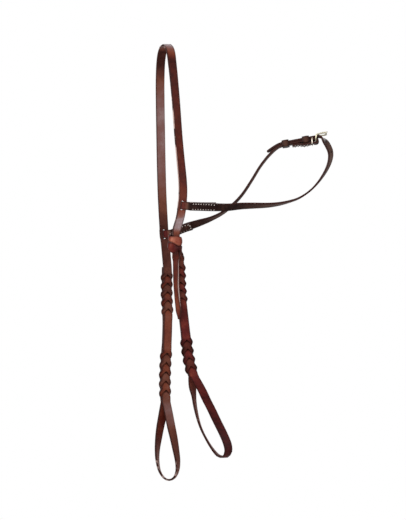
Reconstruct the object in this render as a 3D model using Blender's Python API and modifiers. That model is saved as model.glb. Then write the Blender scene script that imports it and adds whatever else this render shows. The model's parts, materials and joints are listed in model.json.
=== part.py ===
"""Western headstall of harness leather, hanging by its crown.

Metres, +Z up. The origin is the inside top of the crown, where the poll or a rack peg carries it.
+X runs to the horse's rear as it is seen from the near side, and -Y is the near side.
"""

import math

import bmesh
import bpy
from mathutils import Matrix, Vector

# Driving sizes of the leather
strap_width = 0.0159
strap_thickness = 0.0034
throat_width = 0.0143
throat_thickness = 0.0033
tail_width = 0.0100
point_width = 0.004
layer_gap = 0.0005

# Overall hang of the headstall
hang_height = 0.7595
leg_spread = 0.070
level_turn = 25

# Bloodknots: two layers that pass through slits in each other
knot_pitch = 0.0152
pinched_width = 0.0080
spread_band = 0.0058
slit_side_gap = 0.0006
end_overrun = 0.0100
steep_layer_share = 1.10
pinch_shares = (0.27, 0.46)
slit_shares = (0.25, 0.37)

# Hitch of the near cheek round the crown strap
hitch_band = 0.0125
hitch_pitch = 0.0138
hitch_gap = 0.0008
cheek_setback = 0.0130
elbow_radius = 0.0110
elbow_slack = 0.0009
corner_steps = 5
elbow_rings = 5
join_rings = 3

# Slits and folds that carry the throatlatch
slit_length = 0.0280
slit_band = 0.0062
fold_play = 0.0012
fold_corner = 0.0024
fold_depth = 0.0150
near_tab_length = 0.0680
off_tab_length = 0.0530
settle_length = 0.0600
fold_steps = 3
fold_leg_shares = (1, 0.55)
leaving_shares = (0.7, 1)
slit_room_share = 0.58
long_slit_shares = (
    (-0.5, 0), (-0.42, 0.45), (-0.32, 1), (-0.16, 1), (0, 1), (0.16, 1), (0.32, 1), (0.42, 0.45), (0.5, 0),
)
hole_shares = ((-0.5, 0), (-0.3, 0.8), (0, 1), (0.3, 0.8), (0.5, 0))

# Tail of the crown strap
tail_taper_share = 0.13
point_share = 0.14

# Buckle, in its own frame: along the strap, across it and out of it
wire_radius = 0.0013
buckle_corner = 0.0024
corner_arcs = 4
buckle_reach = 0.0200
buckle_rise = 0.0100
buckle_side_gap = 0.0005
bar_play = 0.0007
tongue_radius = 0.0011
tongue_gap = 0.0004
tongue_overhang = 0.0030
tongue_slot_half = 0.0019
slot_length = 0.0030
slot_start_share = 0.7
bar_steps = 6
eye_start = math.radians(-20)
eye_turn = math.radians(250)
eye_steps = 12
shank_shares = (
    (0.10, 0.06), (0.17, 0.24), (0.215, 0.44), (0.25, 0.62), (0.32, 0.80), (0.46, 0.94),
    (0.72, 1.0), (1.0, 1.0),
)
chape_length = 0.0410
chape_settle = 0.0090
chape_near_share = 0.25
chape_far_share = 0.80
strap_hole_half = 0.0019
strap_hole_length = 0.0085
spare_hole_half = 0.0014
spare_hole_length = 0.0042
hole_spacing = 0.0190
holes_each_side = 2
billet_overlap = 0.0150
billet_lift = 0.0014
point_length = 0.0070
dive_shares = ((0.66, 0.55), (0.46, 0.96))
billet_start_share = 0.40
tongue_through_share = 0.23

# Keepers
keeper_length = 0.0125
keeper_thickness = 0.0020
keeper_corner = 0.0018
keeper_gap = 0.0006
fixed_keeper_place = 0.0168
keeper_slide_room = 0.0057

# Waxed thread, laid on the faces that it sews together
thread_radius = 0.0005
stitch_length = 0.0044
stitch_hump = 0.0003
stitch_inset = 0.0024
surface_gap = 0.0003

# Spacing of the rings that make up the straps
ring_step = 0.0140
rings_each_pitch = 8

# Half the distance between the middles of two doubled layers, in a bloodknot and flat together
layer_lift = (strap_thickness * steep_layer_share + layer_gap) / (2 * math.sin(math.pi / 4))
flat_lift = (strap_thickness + layer_gap) / 2

# Distances between the throatlatch's layers: stacked, round the bar, and with the fixed keeper between
stacked = throat_thickness + layer_gap
bar_depth = wire_radius + bar_play + throat_thickness / 2
chape_drop = throat_thickness + 2 * keeper_gap + keeper_thickness

# The sliding keeper's middle, with room to slide before it meets the end of the chape
sliding_keeper_place = chape_length + keeper_length / 2 + keeper_slide_room

# The reference photograph's frame: the pixel of the origin, and the pixels from there to the lowest loop
origin_pixel_x = 168.0
origin_pixel_y = 46.0
hang_pixels = 434.0
pixel = hang_height / hang_pixels

# Routes: pixel across, pixel down, depth as a share of the leg spread, turn of the width in degrees
off_axis_pixels = (
    (166.3, 254, 0.50, 25), (166.8, 266, 0.50, 25), (166.8, 280, 0.50, 25), (166.8, 296, 0.50, 25),
    (167.4, 312, 0.50, 25), (167.2, 330, 0.50, 25), (166.5, 348, 0.50, 25), (165.5, 364, 0.50, 25),
    (165.0, 380, 0.50, 25), (165.2, 394, 0.50, 26), (165.6, 402, 0.50, 27),
)
off_leg_pixels = (
    (165.4, 245, 0.50, 25), (164.3, 236, 0.50, 25), (163.6, 224, 0.50, 25), (162.7, 208, 0.50, 25),
    (161.9, 190, 0.50, 25), (161.2, 164, 0.50, 25), (160.7, 136, 0.48, 25), (160.2, 104, 0.42, 25),
    (160.1, 80, 0.365, 25), (160.8, 62, 0.30, 25), (162.4, 51.5, 0.205, 25), (164.5, 46.6, 0.11, 25),
)
near_leg_pixels = (
    (166.8, 45.0, 0.0, 25), (169.2, 47.6, -0.11, 25), (170.9, 53.0, -0.205, 25), (172.1, 62, -0.30, 25),
    (174.0, 80, -0.365, 25), (176.1, 104, -0.42, 25), (178.4, 136, -0.48, 25), (180.6, 160, -0.50, 25),
    (182.5, 180, -0.50, 25), (182.9, 193, -0.50, 25), (182.0, 205, -0.50, 25), (179.8, 217, -0.50, 25),
)
near_depth_share = -0.50
hitch_pixel_x = 175.7
hitch_top_pixel = 235.0
straight_top_pixel = 230.5
straight_end_pixel = 253.5
tail_pixels = (
    (175.8, 263, -0.50, 5), (175.9, 274, -0.50, -24), (176.2, 286, -0.50, -38), (177.2, 298, -0.50, -36),
    (178.4, 309, -0.50, -26), (179.1, 319.3, -0.50, -14),
)
near_axis_pixels = (
    (178.4, 256, 16), (179.3, 266, 13), (179.8, 277, 12), (180.3, 289, 12), (181.4, 300, 12),
    (183.0, 312, 12), (184.5, 325, 12), (186.2, 340, 12), (187.9, 354, 12), (190.3, 366, 13),
    (193.2, 375.5, 15),
)
off_loop_pixels = (
    (162.2, 417, 0.53, 31), (160.1, 428, 0.54, 40), (158.6, 438, 0.54, 51), (157.3, 450, 0.53, 66),
    (157.5, 461, 0.52, 76), (159.7, 471.2, 0.51, 84), (164.2, 478.0, 0.50, 88), (169.2, 480.0, 0.50, 89),
    (174.3, 477.6, 0.50, 84), (177.4, 470.6, 0.49, 76), (177.6, 461, 0.48, 64), (175.9, 450, 0.47, 52),
    (173.7, 438, 0.46, 40), (171.5, 428, 0.46, 31), (169.3, 417, 0.47, 28),
)
near_loop_pixels = (
    (192.6, 387, -0.275, 44), (193.8, 396, -0.26, 68), (195.1, 406, -0.265, 76), (197.7, 418, -0.28, 82),
    (201.3, 429, -0.29, 86), (206.5, 439.5, -0.30, 86), (212.3, 448.8, -0.31, 82), (218.4, 455.6, -0.32, 73),
    (225.0, 456.8, -0.33, 58), (228.3, 451.4, -0.34, 42), (227.1, 443, -0.34, 28), (222.4, 432, -0.35, 18),
    (216.9, 421, -0.355, 10), (211.7, 410, -0.36, 6), (206.6, 400, -0.36, 6), (201.1, 388.5, -0.355, 11),
)

# The throatlatch: the third number is the depth share, and the last the roll of the width towards +Y
near_throat_pixels = (
    (204, 206.6, -0.245, -12), (216, 206.8, -0.165, -26), (228, 206.6, -0.115, -38), (240, 205.6, -0.09, -46),
    (252, 205.5, -0.075, -54), (264, 205.4, -0.065, -62), (276, 204.4, -0.055, -72),
    (288, 201.9, -0.045, -82), (300, 197.6, -0.035, -88), (312, 189.0, -0.025, -90),
    (321.4, 178.0, -0.015, -84), (328.2, 166.0, -0.01, -74),
    (330.7, 155.6, 0.0, -62), (329.6, 147.4, 0.0, -62), (326.0, 141.2, 0.0, -78),
)
off_throat_pixels = (
    (178, 230.8, 0.60, 176), (186, 227.5, 0.60, 164), (198, 224.0, 0.55, 138), (210, 219.9, 0.46, 116),
    (222, 213.4, 0.36, 106), (234, 203.6, 0.26, 101), (243, 193.6, 0.19, 99), (252, 180.0, 0.12, 98),
    (260, 166.9, 0.06, 98), (267.6, 157.0, 0.02, 99), (273.2, 151.0, 0.0, 101),
)
buckle_pixel_x = 315.5
buckle_pixel_y = 139.2
straight_pixel_x = 279.0
straight_pixel_y = 146.2
throat_tilt = math.radians(12)

near_slit_pixel = 205.4
off_slit_pixel = 234.2

# Bloodknots: pixel down of the first slit's middle, crossings, pitch as a share of the knot pitch
off_knots_pixels = ((277.0, 5, 0.98), (355.6, 5, 1.07))
near_knots_pixels = ((268.4, 5, 0.90), (342.6, 4, 1.02))


def place(pixel_x, pixel_y, depth_share):
    """World point for a pixel of the reference frame and a share of the leg spread."""
    return Vector((
        (pixel_x - origin_pixel_x) * pixel,
        depth_share * leg_spread,
        (origin_pixel_y - pixel_y) * pixel,
    ))


def flat_across(degrees):
    """Level width direction, turned from +X towards +Y."""
    turn = math.radians(degrees)
    return Vector((math.cos(turn), math.sin(turn), 0))


def rolled_across(ahead, degrees):
    """Width direction square to the route: 0 lies in the picture's plane, 90 points at +Y."""
    roll = math.radians(degrees)
    beside = Vector((-ahead.z, 0, ahead.x)).normalized()
    across = beside * math.cos(roll) + Vector((0, 1, 0)) * math.sin(roll)
    return (across - ahead * across.dot(ahead)).normalized()


def smooth_step(value):
    """0 below 0, 1 above 1, with a soft start and end."""
    held = min(1, max(0, value))
    return held * held * (3 - 2 * held)


def spline(rows, fraction, index):
    """Catmull-Rom value of the rows of numbers between two of them."""
    last = len(rows) - 1
    corners = [rows[min(last, max(0, index + step))] for step in (-1, 0, 1, 2)]
    cube = fraction * fraction * fraction
    square = fraction * fraction
    weights = (
        (-cube + 2 * square - fraction) / 2,
        (3 * cube - 5 * square + 2) / 2,
        (-3 * cube + 4 * square + fraction) / 2,
        (cube - square) / 2,
    )
    return [sum(w * row[i] for w, row in zip(weights, corners)) for i in range(len(rows[0]))]


def even_steps(rows, step):
    """Rows read from a smooth curve through the given ones, about a step apart; x, y, z come first."""
    result = []
    for index in range(len(rows) - 1):
        span = (Vector(rows[index + 1][:3]) - Vector(rows[index][:3])).length
        parts = max(1, round(span / step))
        result += [spline(rows, part / parts, index) for part in range(parts)]
    return result + [list(rows[-1])]


def ring(centre, across, width, **shape):
    """One station of a strap: where its middle is, which way its width lies, and how it is shaped."""
    return {"centre": centre, "across": across, "width": width, "opening": 0, **shape}


def ahead_at(rings, index):
    """Direction of travel at a ring."""
    before = rings[max(0, index - 1)]["centre"]
    after = rings[min(len(rings) - 1, index + 1)]["centre"]
    return (after - before).normalized()


def material(name, colour, roughness, metallic=0.0):
    """A plain Principled finish."""
    made = bpy.data.materials.new(name)
    made.use_nodes = True
    surface = made.node_tree.nodes["Principled BSDF"]
    surface.inputs["Base Color"].default_value = (*colour, 1)
    surface.inputs["Roughness"].default_value = roughness
    surface.inputs["Metallic"].default_value = metallic
    made.diffuse_color = (*colour, 1)
    return made


def put(name, data, finish):
    """An object of the headstall's collection with its finish."""
    made = bpy.data.objects.new(name, data)
    made.data.materials.append(finish)
    headstall.objects.link(made)
    return made


def strap(name, rings, thickness, finish, columns=4):
    """A flat grid bent along the rings, slit where a ring opens, and given its thickness."""
    grid = bmesh.new()
    bmesh.ops.create_grid(grid, x_segments=len(rings) - 1, y_segments=columns, size=1)
    rung = grid.verts.layers.int.new("rung")
    share = grid.verts.layers.float.new("share")
    for vertex in grid.verts:
        vertex[rung] = round((vertex.co.x + 1) / 2 * (len(rings) - 1))
        vertex[share] = round(vertex.co.y * columns / 2) * 2 / columns
    slits = [
        edge for edge in grid.edges
        if all(vertex[share] == 0 for vertex in edge.verts)
        and any(rings[vertex[rung]]["opening"] > 0 for vertex in edge.verts)
    ]
    bmesh.ops.split_edges(grid, edges=slits)
    places = {}
    for vertex in grid.verts:
        station = rings[vertex[rung]]
        side = sum(face.calc_center_median().y for face in vertex.link_faces)
        side = 0 if abs(side) < 1 / (100 * columns) else math.copysign(1, side)
        band = station.get("band", station["width"] / 2)
        outward = vertex[share] * band + (side * station["opening"] if vertex[share] == 0 or side else 0)
        places[vertex] = station["centre"] + station["across"] * outward
    for vertex, point in places.items():
        vertex.co = point
    bmesh.ops.recalc_face_normals(grid, faces=grid.faces)
    mesh = bpy.data.meshes.new(name)
    grid.to_mesh(mesh)
    grid.free()
    made = put(name, mesh, finish)
    thick = made.modifiers.new("thickness", "SOLIDIFY")
    thick.thickness = thickness
    thick.offset = 0
    return made


def leg_rings(rows, step):
    """Full-width rings along rows of x, y, z and turn."""
    return [ring(Vector(row[:3]), flat_across(row[3]), strap_width) for row in even_steps(rows, step)]


def world_rows(pixels):
    """Rows of x, y, z and turn for a route in pixels."""
    return [(*place(*row[:3]), row[3]) for row in pixels]


def axis_reader(rows, step):
    """Arc-length reader of a cheek's middle: gives point, across and normal at a length from its top."""
    dense = even_steps(rows, step)
    lengths = [0]
    for before, after in zip(dense, dense[1:]):
        lengths.append(lengths[-1] + (Vector(after[:3]) - Vector(before[:3])).length)

    def read(length):
        index = next((i for i in range(1, len(lengths)) if lengths[i] >= length), len(lengths) - 1)
        part = (length - lengths[index - 1]) / (lengths[index] - lengths[index - 1])
        row = [a + (b - a) * part for a, b in zip(dense[index - 1], dense[index])]
        ahead = (Vector(dense[index][:3]) - Vector(dense[index - 1][:3])).normalized()
        across = flat_across(row[3])
        across = (across - ahead * across.dot(ahead)).normalized()
        return Vector(row[:3]), across, ahead.cross(across).normalized()

    def length_at(pixel_y):
        height = place(0, pixel_y, 0).z
        index = next(i for i in range(1, len(dense)) if dense[i][2] <= height)
        part = (dense[index - 1][2] - height) / (dense[index - 1][2] - dense[index][2])
        return lengths[index - 1] + part * (lengths[index] - lengths[index - 1])

    return read, length_at, lengths[-1]


def knot_state(length, knots):
    """Side of the main layer (1 in front, -1 behind), and what the nearest slit does there."""
    front = 1
    for first, count, pitch in knots:
        along = (length - first) / pitch
        if along < -0.5:
            return front, None
        if along < count - 0.5:
            nearest = min(count - 1, max(0, round(along)))
            away = along - nearest
            before = front * (-1) ** nearest
            pinch, slit = (
                smooth_step((none - abs(away)) / (none - full)) for full, none in (pinch_shares, slit_shares)
            )
            return before, (away, pinch, slit)
        front *= (-1) ** count
    return front, None


def knot_ring(reader, length, knots, main, sense=1):
    """Ring of the main or the other layer of a doubled cheek at a length along its middle."""
    middle, across, normal = reader(length)
    front, slit = knot_state(length, knots)
    layer = 1 if main else -1
    if slit is None:
        near_knot = min(abs(length - edge) for edge in knot_edges(knots))
        swell = 1 - smooth_step(near_knot / knot_pitch)
        lift = flat_lift + (layer_lift - flat_lift) * swell
        return ring(middle + normal * front * layer * lift, across * sense, strap_width)
    away, pinch, openness = slit
    lift = -layer_lift * math.sin(math.pi * away) * front * layer
    centre = middle + normal * lift
    if front * layer > 0:
        opening = (pinched_width / 2 + slit_side_gap) * openness
        band = strap_width / 2 + (spread_band - strap_width / 2) * pinch
        return ring(centre, across * sense, strap_width, opening=opening, band=band)
    width = strap_width + (pinched_width - strap_width) * pinch
    return ring(centre, across * sense, width)


def knot_edges(knots):
    """Lengths at which the knots start and end."""
    return [first + (count * end - 0.5) * pitch for first, count, pitch in knots for end in (0, 1)]


def cheek_lengths(knots, start, end):
    """Stations down a doubled cheek: close together in a knot, wider between."""
    edges = [start, *knot_edges(knots), end]
    result = []
    for index, (low, high) in enumerate(zip(edges, edges[1:])):
        if index % 2:
            count = knots[index // 2][1] * rings_each_pitch
        else:
            count = max(2, round((high - low) / (ring_step / 2)))
        result += [low + (high - low) * part / count for part in range(count)]
    return result + [end]


def scaled_knots(length_at, knots_pixels):
    """Length of the first slit's middle, number of crossings and pitch of each knot."""
    return [(length_at(top), count, knot_pitch * share) for top, count, share in knots_pixels]


def strap_lengths(rings):
    """Length along the strap at each ring."""
    lengths = [0]
    for before, after in zip(rings, rings[1:]):
        lengths.append(lengths[-1] + (after["centre"] - before["centre"]).length)
    return lengths


def ring_at(rings, lengths, length):
    """Plain ring at a length along the strap."""
    index = next((i for i in range(1, len(rings)) if lengths[i] >= length), len(rings) - 1)
    low, high = rings[index - 1], rings[index]
    part = (length - lengths[index - 1]) / (lengths[index] - lengths[index - 1])
    across = low["across"].lerp(high["across"], part).normalized()
    width = low["width"] + (high["width"] - low["width"]) * part
    return ring(low["centre"].lerp(high["centre"], part), across, width)


def with_slit(rings, middle, slit, opening, band, shape_shares):
    """Opens a slit about a length along the strap; the shares pair a place in the slit with its openness."""
    lengths = strap_lengths(rings)
    before = [r for r, length in zip(rings, lengths) if length < middle - slit * slit_room_share]
    after = [r for r, length in zip(rings, lengths) if length > middle + slit * slit_room_share]
    opened = []
    for part, openness in shape_shares:
        station = ring_at(rings, lengths, middle + part * slit)
        half = station["width"] / 2
        opened.append({**station, "opening": opening * openness, "band": half + (band - half) * openness})
    return [*before, *opened, *after]


def length_at_height(rings, height):
    """Length along a strap where it passes a height."""
    lengths = strap_lengths(rings)
    for index in range(1, len(rings)):
        low, high = rings[index - 1]["centre"].z, rings[index]["centre"].z
        if (low - height) * (high - height) <= 0 and low != high:
            return lengths[index - 1] + (lengths[index] - lengths[index - 1]) * (height - low) / (high - low)
    raise ValueError("no such height")


def leg_slit(rings, pixel_y):
    """Slit of a leg, wide enough for the throat strap and its play, and the frame of that slit."""
    middle = length_at_height(rings, place(0, pixel_y, 0).z)
    opening = throat_thickness / 2 + fold_play
    opened = with_slit(rings, middle, slit_length, opening, slit_band, long_slit_shares)
    lengths = strap_lengths(rings)
    station = ring_at(rings, lengths, middle)
    below = ring_at(rings, lengths, middle + slit_length / 2)["centre"]
    above = ring_at(rings, lengths, middle - slit_length / 2)["centre"]
    up = (above - below).normalized() * (1 if above.z > below.z else -1)
    across = (station["across"] - up * station["across"].dot(up)).normalized()
    return opened, (station["centre"], across, up)


def hitch_frame():
    """Top of the hitch on the crown strap's middle, with its across and outward directions."""
    across = flat_across(level_turn)
    return place(hitch_pixel_x, hitch_top_pixel, near_depth_share), across, Vector((across.y, -across.x, 0))


def crown_rings():
    """Other layer down the off cheek, off loop, main layer up, off leg, crown, near leg and tail."""
    reader, length_at, total = axis_reader(world_rows(off_axis_pixels), ring_step / 4)
    knots = scaled_knots(length_at, off_knots_pixels)
    start = knot_edges(knots)[0] - end_overrun
    down = [knot_ring(reader, s, knots, False) for s in cheek_lengths(knots, start, total)]
    up = [knot_ring(reader, s, knots, True) for s in reversed(cheek_lengths(knots, start, total))]
    loop = [(*down[-1]["centre"], off_axis_pixels[-1][3]), *world_rows(off_loop_pixels),
            (*up[0]["centre"], off_axis_pixels[-1][3])]
    round_loop = leg_rings(loop, ring_step)[1:-1]
    rise = leg_rings([(*up[-1]["centre"], level_turn), *world_rows(off_leg_pixels)], ring_step)
    rise, off_frame = leg_slit(rise, off_slit_pixel)
    straight = [
        (hitch_pixel_x, pixel_y, near_depth_share, level_turn)
        for pixel_y in (straight_top_pixel, straight_end_pixel)
    ]
    fall = leg_rings(world_rows([*near_leg_pixels, straight[0]]), ring_step)
    fall, near_frame = leg_slit(fall, near_slit_pixel)
    held = leg_rings(world_rows(straight), ring_step)[1:-1]
    tail = []
    rows = even_steps(world_rows([straight[1], *tail_pixels]), ring_step / 2)
    for row in rows:
        part = (rows[0][2] - row[2]) / (rows[0][2] - rows[-1][2])
        width = strap_width + (tail_width - strap_width) * smooth_step(part / tail_taper_share)
        width += (point_width - tail_width) * smooth_step((part - 1 + point_share) / point_share)
        tail.append(ring(Vector(row[:3]), flat_across(row[3]), width))
    return [*down, *round_loop, *up[:-1], *rise, *fall, *held, *tail], near_frame, off_frame


def stadium(length, half_straight, radius):
    """Point and heading on a stadium round the strap: from its back right, leftwards, to the front."""
    turn = math.pi * radius
    lap = 4 * half_straight + 2 * turn
    along = length % lap
    if along < 2 * half_straight:
        return (half_straight - along, -radius), (-1, 0)
    along -= 2 * half_straight
    if along < turn:
        angle = along / radius
        spot = (-half_straight - radius * math.sin(angle), -radius * math.cos(angle))
        return spot, (-math.cos(angle), math.sin(angle))
    along -= turn
    if along < 2 * half_straight:
        return (along - half_straight, radius), (1, 0)
    angle = (along - 2 * half_straight) / radius
    spot = (half_straight + radius * math.sin(angle), radius * math.cos(angle))
    return spot, (math.cos(angle), -math.sin(angle))


def hitch_rings():
    """Two turns of the cheek strap round the crown strap, then the elbow that leads it down behind."""
    origin, side, out = hitch_frame()
    up = Vector((0, 0, 1))
    radius = strap_thickness / 2 + hitch_gap + math.hypot(strap_thickness, strap_thickness) / 2
    half_straight = (strap_width - strap_thickness) / 2
    lap = 4 * half_straight + 2 * math.pi * radius
    turned = 2 * lap - math.pi * radius
    slope = math.atan2(hitch_pitch, lap)
    half_turn = math.pi * radius
    stops = [0]
    while stops[-1] < turned - surface_gap:
        straight_run = [half_straight, half_straight]
        rounded_run = [half_turn / corner_steps] * corner_steps
        for run in [*straight_run, *rounded_run]:
            stops.append(stops[-1] + run)
    rings = []
    for length in [stop for stop in stops if stop < turned + surface_gap]:
        (u, n), (du, dn) = stadium(length, half_straight, radius)
        across = (up * math.cos(slope) + (side * du + out * dn) * math.sin(slope)).normalized()
        centre = origin + side * u + out * n - up * hitch_pitch * length / lap
        rings.append(ring(centre, across, hitch_band))
    low = hitch_pitch * turned / lap
    for step in range(1, elbow_rings + 1):
        part = step / elbow_rings
        bend = slope + (math.pi / 2 - slope) * part
        wide = radius + elbow_slack * part
        beyond = elbow_radius * (math.sin(bend) - math.sin(slope))
        (u, n), (du, dn) = stadium(4 * half_straight + math.pi * wide + beyond, half_straight, wide)
        fall = low + elbow_radius * (math.cos(slope) - math.cos(bend))
        across = up * math.cos(bend) + (side * du + out * dn) * math.sin(bend)
        centre = origin + side * u + out * n - up * fall
        rings.append(ring(centre, across, hitch_band + (strap_width - hitch_band) * part))
    return rings


def near_cheek_rings():
    """Hitch, main layer down the near cheek, near loop, and the other layer up."""
    tail = place(0, 0, near_depth_share)
    rows = []
    for pixel_x, pixel_y, turn in near_axis_pixels:
        spot = place(pixel_x, pixel_y, 0)
        rows.append((spot.x, tail.y + cheek_setback, spot.z, turn))
    reader, length_at, total = axis_reader(rows, ring_step / 4)
    knots = scaled_knots(length_at, near_knots_pixels)
    start = knot_edges(knots)[0] - end_overrun / 2
    down = [knot_ring(reader, s, knots, True, -1) for s in cheek_lengths(knots, start, total)]
    up = [knot_ring(reader, s, knots, False, -1) for s in reversed(cheek_lengths(knots, start, total))]
    last_turn = rows[-1][3]
    loop = [(*down[-1]["centre"], last_turn), *world_rows(near_loop_pixels), (*up[0]["centre"], last_turn)]
    round_loop = leg_rings(loop, ring_step)[1:-1]
    for station in round_loop:
        station["across"] = -station["across"]
    hitch = hitch_rings()
    join = []
    for step in range(1, join_rings + 1):
        part = step / (join_rings + 1)
        soft = smooth_step(part)
        centre = hitch[-1]["centre"].lerp(down[0]["centre"], part)
        spot = hitch[-1]["centre"].lerp(down[0]["centre"], soft)
        across = hitch[-1]["across"].lerp(down[0]["across"], soft).normalized()
        join.append(ring(Vector((spot.x, spot.y, centre.z)), across, strap_width))
    return [*hitch, *join, *down, *round_loop, *up]


def fold_rings(frame, outer_side, route, tab_length):
    """Fold of a throat strap round half of a leg: tab end, tab, fold, then the main strap on its route."""
    centre, side, up = frame
    outward = side.cross(up) * outer_side
    reach = strap_thickness / 2 + fold_play + throat_thickness / 2
    sewn = (throat_thickness + layer_gap) / 2
    across = up * outer_side
    flat = reach - fold_corner
    corner = []
    for step in range(fold_steps + 1):
        angle = math.pi / 2 * step / fold_steps
        corner.append((fold_corner * (1 - math.sin(angle)), flat + fold_corner * math.cos(angle)))
    bend = [(u, -n) for u, n in corner] + [(u, n) for u, n in reversed(corner)]
    cavity = throat_thickness / 2 + fold_play + slit_band + fold_play
    legs = [(cavity * part, reach) for part in fold_leg_shares]
    path = [(u, -n) for u, n in legs] + bend + [(u, n) for u, n in reversed(legs)]
    fold = [ring(centre + side * u + outward * n, across, throat_width) for u, n in path]
    leaving = [(*(centre + side * fold_depth * part), route[0][3]) for part in leaving_shares]
    rows = even_steps([*leaving, *route], ring_step)[1:]
    main, tab = [], []
    length = 0
    for index, row in enumerate(rows):
        spot = Vector(row[:3])
        following = Vector(rows[min(index + 1, len(rows) - 1)][:3])
        ahead = (following - Vector(rows[max(index - 1, 0)][:3])).normalized()
        if index:
            length += (spot - Vector(rows[index - 1][:3])).length
        lie = rolled_across(ahead, row[3])
        normal = ahead.cross(lie)
        if length < tab_length - fold_depth:
            tab.append(ring(spot - normal * sewn, lie, throat_width))
        lift = sewn * (1 - smooth_step((length - tab_length) / settle_length))
        main.append(ring(spot + normal * lift, lie, throat_width))
    return [*reversed(tab), *fold, *main], len(tab), len(tab) + len(fold)


def buckle_matrix():
    """Buckle frame: X along the strap to the far rail, Y across, Z out; the origin is over the bar."""
    bar = place(buckle_pixel_x, buckle_pixel_y, 0)
    along = (bar - place(straight_pixel_x, straight_pixel_y, 0)).normalized()
    across = Vector((0, math.cos(throat_tilt), -math.sin(throat_tilt)))
    across = (across - along * across.dot(along)).normalized()
    out = along.cross(across)
    matrix = Matrix((along, across, out)).transposed().to_4x4()
    matrix.translation = bar
    return matrix


def in_buckle(along, across, out):
    """World point of a place in the buckle frame."""
    return buckle_matrix() @ Vector((along, across, out))


def off_throat_rings(frame):
    """Fold on the off leg, the strap up to the buckle, the fold round the bar, and its tab."""
    matrix = buckle_matrix()
    across = matrix.col[1].to_3d()
    straight_start = place(straight_pixel_x, straight_pixel_y, 0)
    route = [*world_rows(off_throat_pixels), (*straight_start, 90 + math.degrees(throat_tilt))]
    rings, tab_count, main_start = fold_rings(frame, -1, route, off_tab_length)
    straight_length = (matrix.translation - straight_start).length
    rings = rings[:-1]
    free_count = len(rings)

    def at(along, out_of, **shape):
        return ring(matrix @ Vector((along, 0, out_of)), across, throat_width, **shape)

    slot = {"opening": tongue_slot_half, "band": throat_width / 2 - tongue_slot_half}
    slot_start = bar_depth * slot_start_share
    slot_end = slot_start + slot_length
    count = round((straight_length - slot_end) / ring_step)
    for step in range(count + 1):
        rings.append(at(-straight_length + (straight_length - slot_end) * step / count, 0))
    rings.append(at(-slot_start, 0, **slot))
    for step in range(bar_steps + 1):
        angle = math.pi * step / bar_steps
        rings.append(at(bar_depth * math.sin(angle), bar_depth * (math.cos(angle) - 1), **slot))
    rings.append(at(-slot_start, -2 * bar_depth + (2 * bar_depth - chape_drop) * chape_near_share, **slot))
    rings.append(at(-slot_end, -2 * bar_depth + (2 * bar_depth - chape_drop) * chape_far_share))
    past_keeper = fixed_keeper_place + keeper_length / 2 + keeper_gap
    rings.append(at(-chape_settle, -chape_drop))
    rings.append(at(-past_keeper, -chape_drop))
    rings.append(at(-chape_length, -stacked))
    return rings, tab_count, main_start, free_count


def near_throat_rings(frame, off_rings, free_count):
    """Fold on the near leg, the billet round to the buckle, over the bar and along the other strap."""
    matrix = buckle_matrix()
    across = matrix.col[1].to_3d() * -1
    route = [*world_rows(near_throat_pixels)]
    rings, tab_count, main_start = fold_rings(frame, 1, route, near_tab_length)
    bar_ring = len(rings)
    for along, rise in dive_shares:
        rings.append(ring(matrix @ Vector((buckle_reach * along, 0, stacked * rise)), across, throat_width))
    straight_length = (matrix.translation - place(straight_pixel_x, straight_pixel_y, 0)).length
    start = buckle_reach * billet_start_share
    count = round((straight_length + start) / ring_step)
    for step in range(count + 1):
        along = start - (straight_length + start) * step / count
        rings.append(ring(matrix @ Vector((along, 0, stacked)), across, throat_width))
    length = 0
    index = free_count - 1
    while length < billet_overlap:
        station = off_rings[index]
        normal = ahead_at(off_rings, index).cross(station["across"]).normalized()
        centre = station["centre"] + normal * (stacked + billet_lift * min(1, length / billet_overlap))
        length = length + (centre - rings[-1]["centre"]).length
        rings.append(ring(centre, -station["across"], throat_width))
        index -= 1
    point = rings[-1]
    ahead = (point["centre"] - rings[-2]["centre"]).normalized()
    rings.append(ring(point["centre"] + ahead * point_length, point["across"], point_width))
    lengths = strap_lengths(rings)
    bar_length = lengths[bar_ring + len(dive_shares)]
    hole = bar_length + start - buckle_reach * tongue_through_share
    places = [hole + hole_spacing * number for number in range(-holes_each_side, holes_each_side + 1)]
    for middle in places:
        opening = strap_hole_half if middle == hole else spare_hole_half
        slit = strap_hole_length if middle == hole else spare_hole_length
        rings = with_slit(rings, middle, slit, opening, throat_width / 2 - opening, hole_shares)
    return rings, tab_count, main_start


def wire(name, points, radius, finish, closed=False, resolution=2):
    """A round wire along points, as a curve with filled ends."""
    curve = bpy.data.curves.new(name, "CURVE")
    curve.dimensions = "3D"
    curve.bevel_depth = radius
    curve.bevel_resolution = resolution
    curve.use_fill_caps = True
    line = curve.splines.new("POLY")
    line.points.add(len(points) - 1)
    for spot, point in zip(line.points, points):
        spot.co = (*point, 1)
    line.use_cyclic_u = closed
    return put(name, curve, finish)


def rounded_ring(half_x, half_y, corner, steps):
    """Corner arcs of a rounded rectangle, anticlockwise from its right side."""
    points = []
    for quarter in range(4):
        centre_x = (half_x - corner) * (1 if quarter in (0, 3) else -1)
        centre_y = (half_y - corner) * (1 if quarter < 2 else -1)
        for step in range(steps + 1):
            angle = math.pi / 2 * (quarter + step / steps)
            points.append((centre_x + corner * math.cos(angle), centre_y + corner * math.sin(angle)))
    return points


def buckle_frame():
    """Heel bar, side rails and far rail, arched up to the far rail."""
    half_across = throat_width / 2 + buckle_side_gap + buckle_corner
    outline = rounded_ring(buckle_reach / 2, half_across, buckle_corner, corner_arcs)
    points = []
    for along, across in outline:
        share = (along + buckle_reach / 2) / buckle_reach
        points.append((share * buckle_reach, across, -bar_depth + buckle_rise * share))
    moved = [buckle_matrix() @ Vector(point) for point in points]
    return wire("buckle_frame", moved, wire_radius, metal, closed=True)


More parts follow.
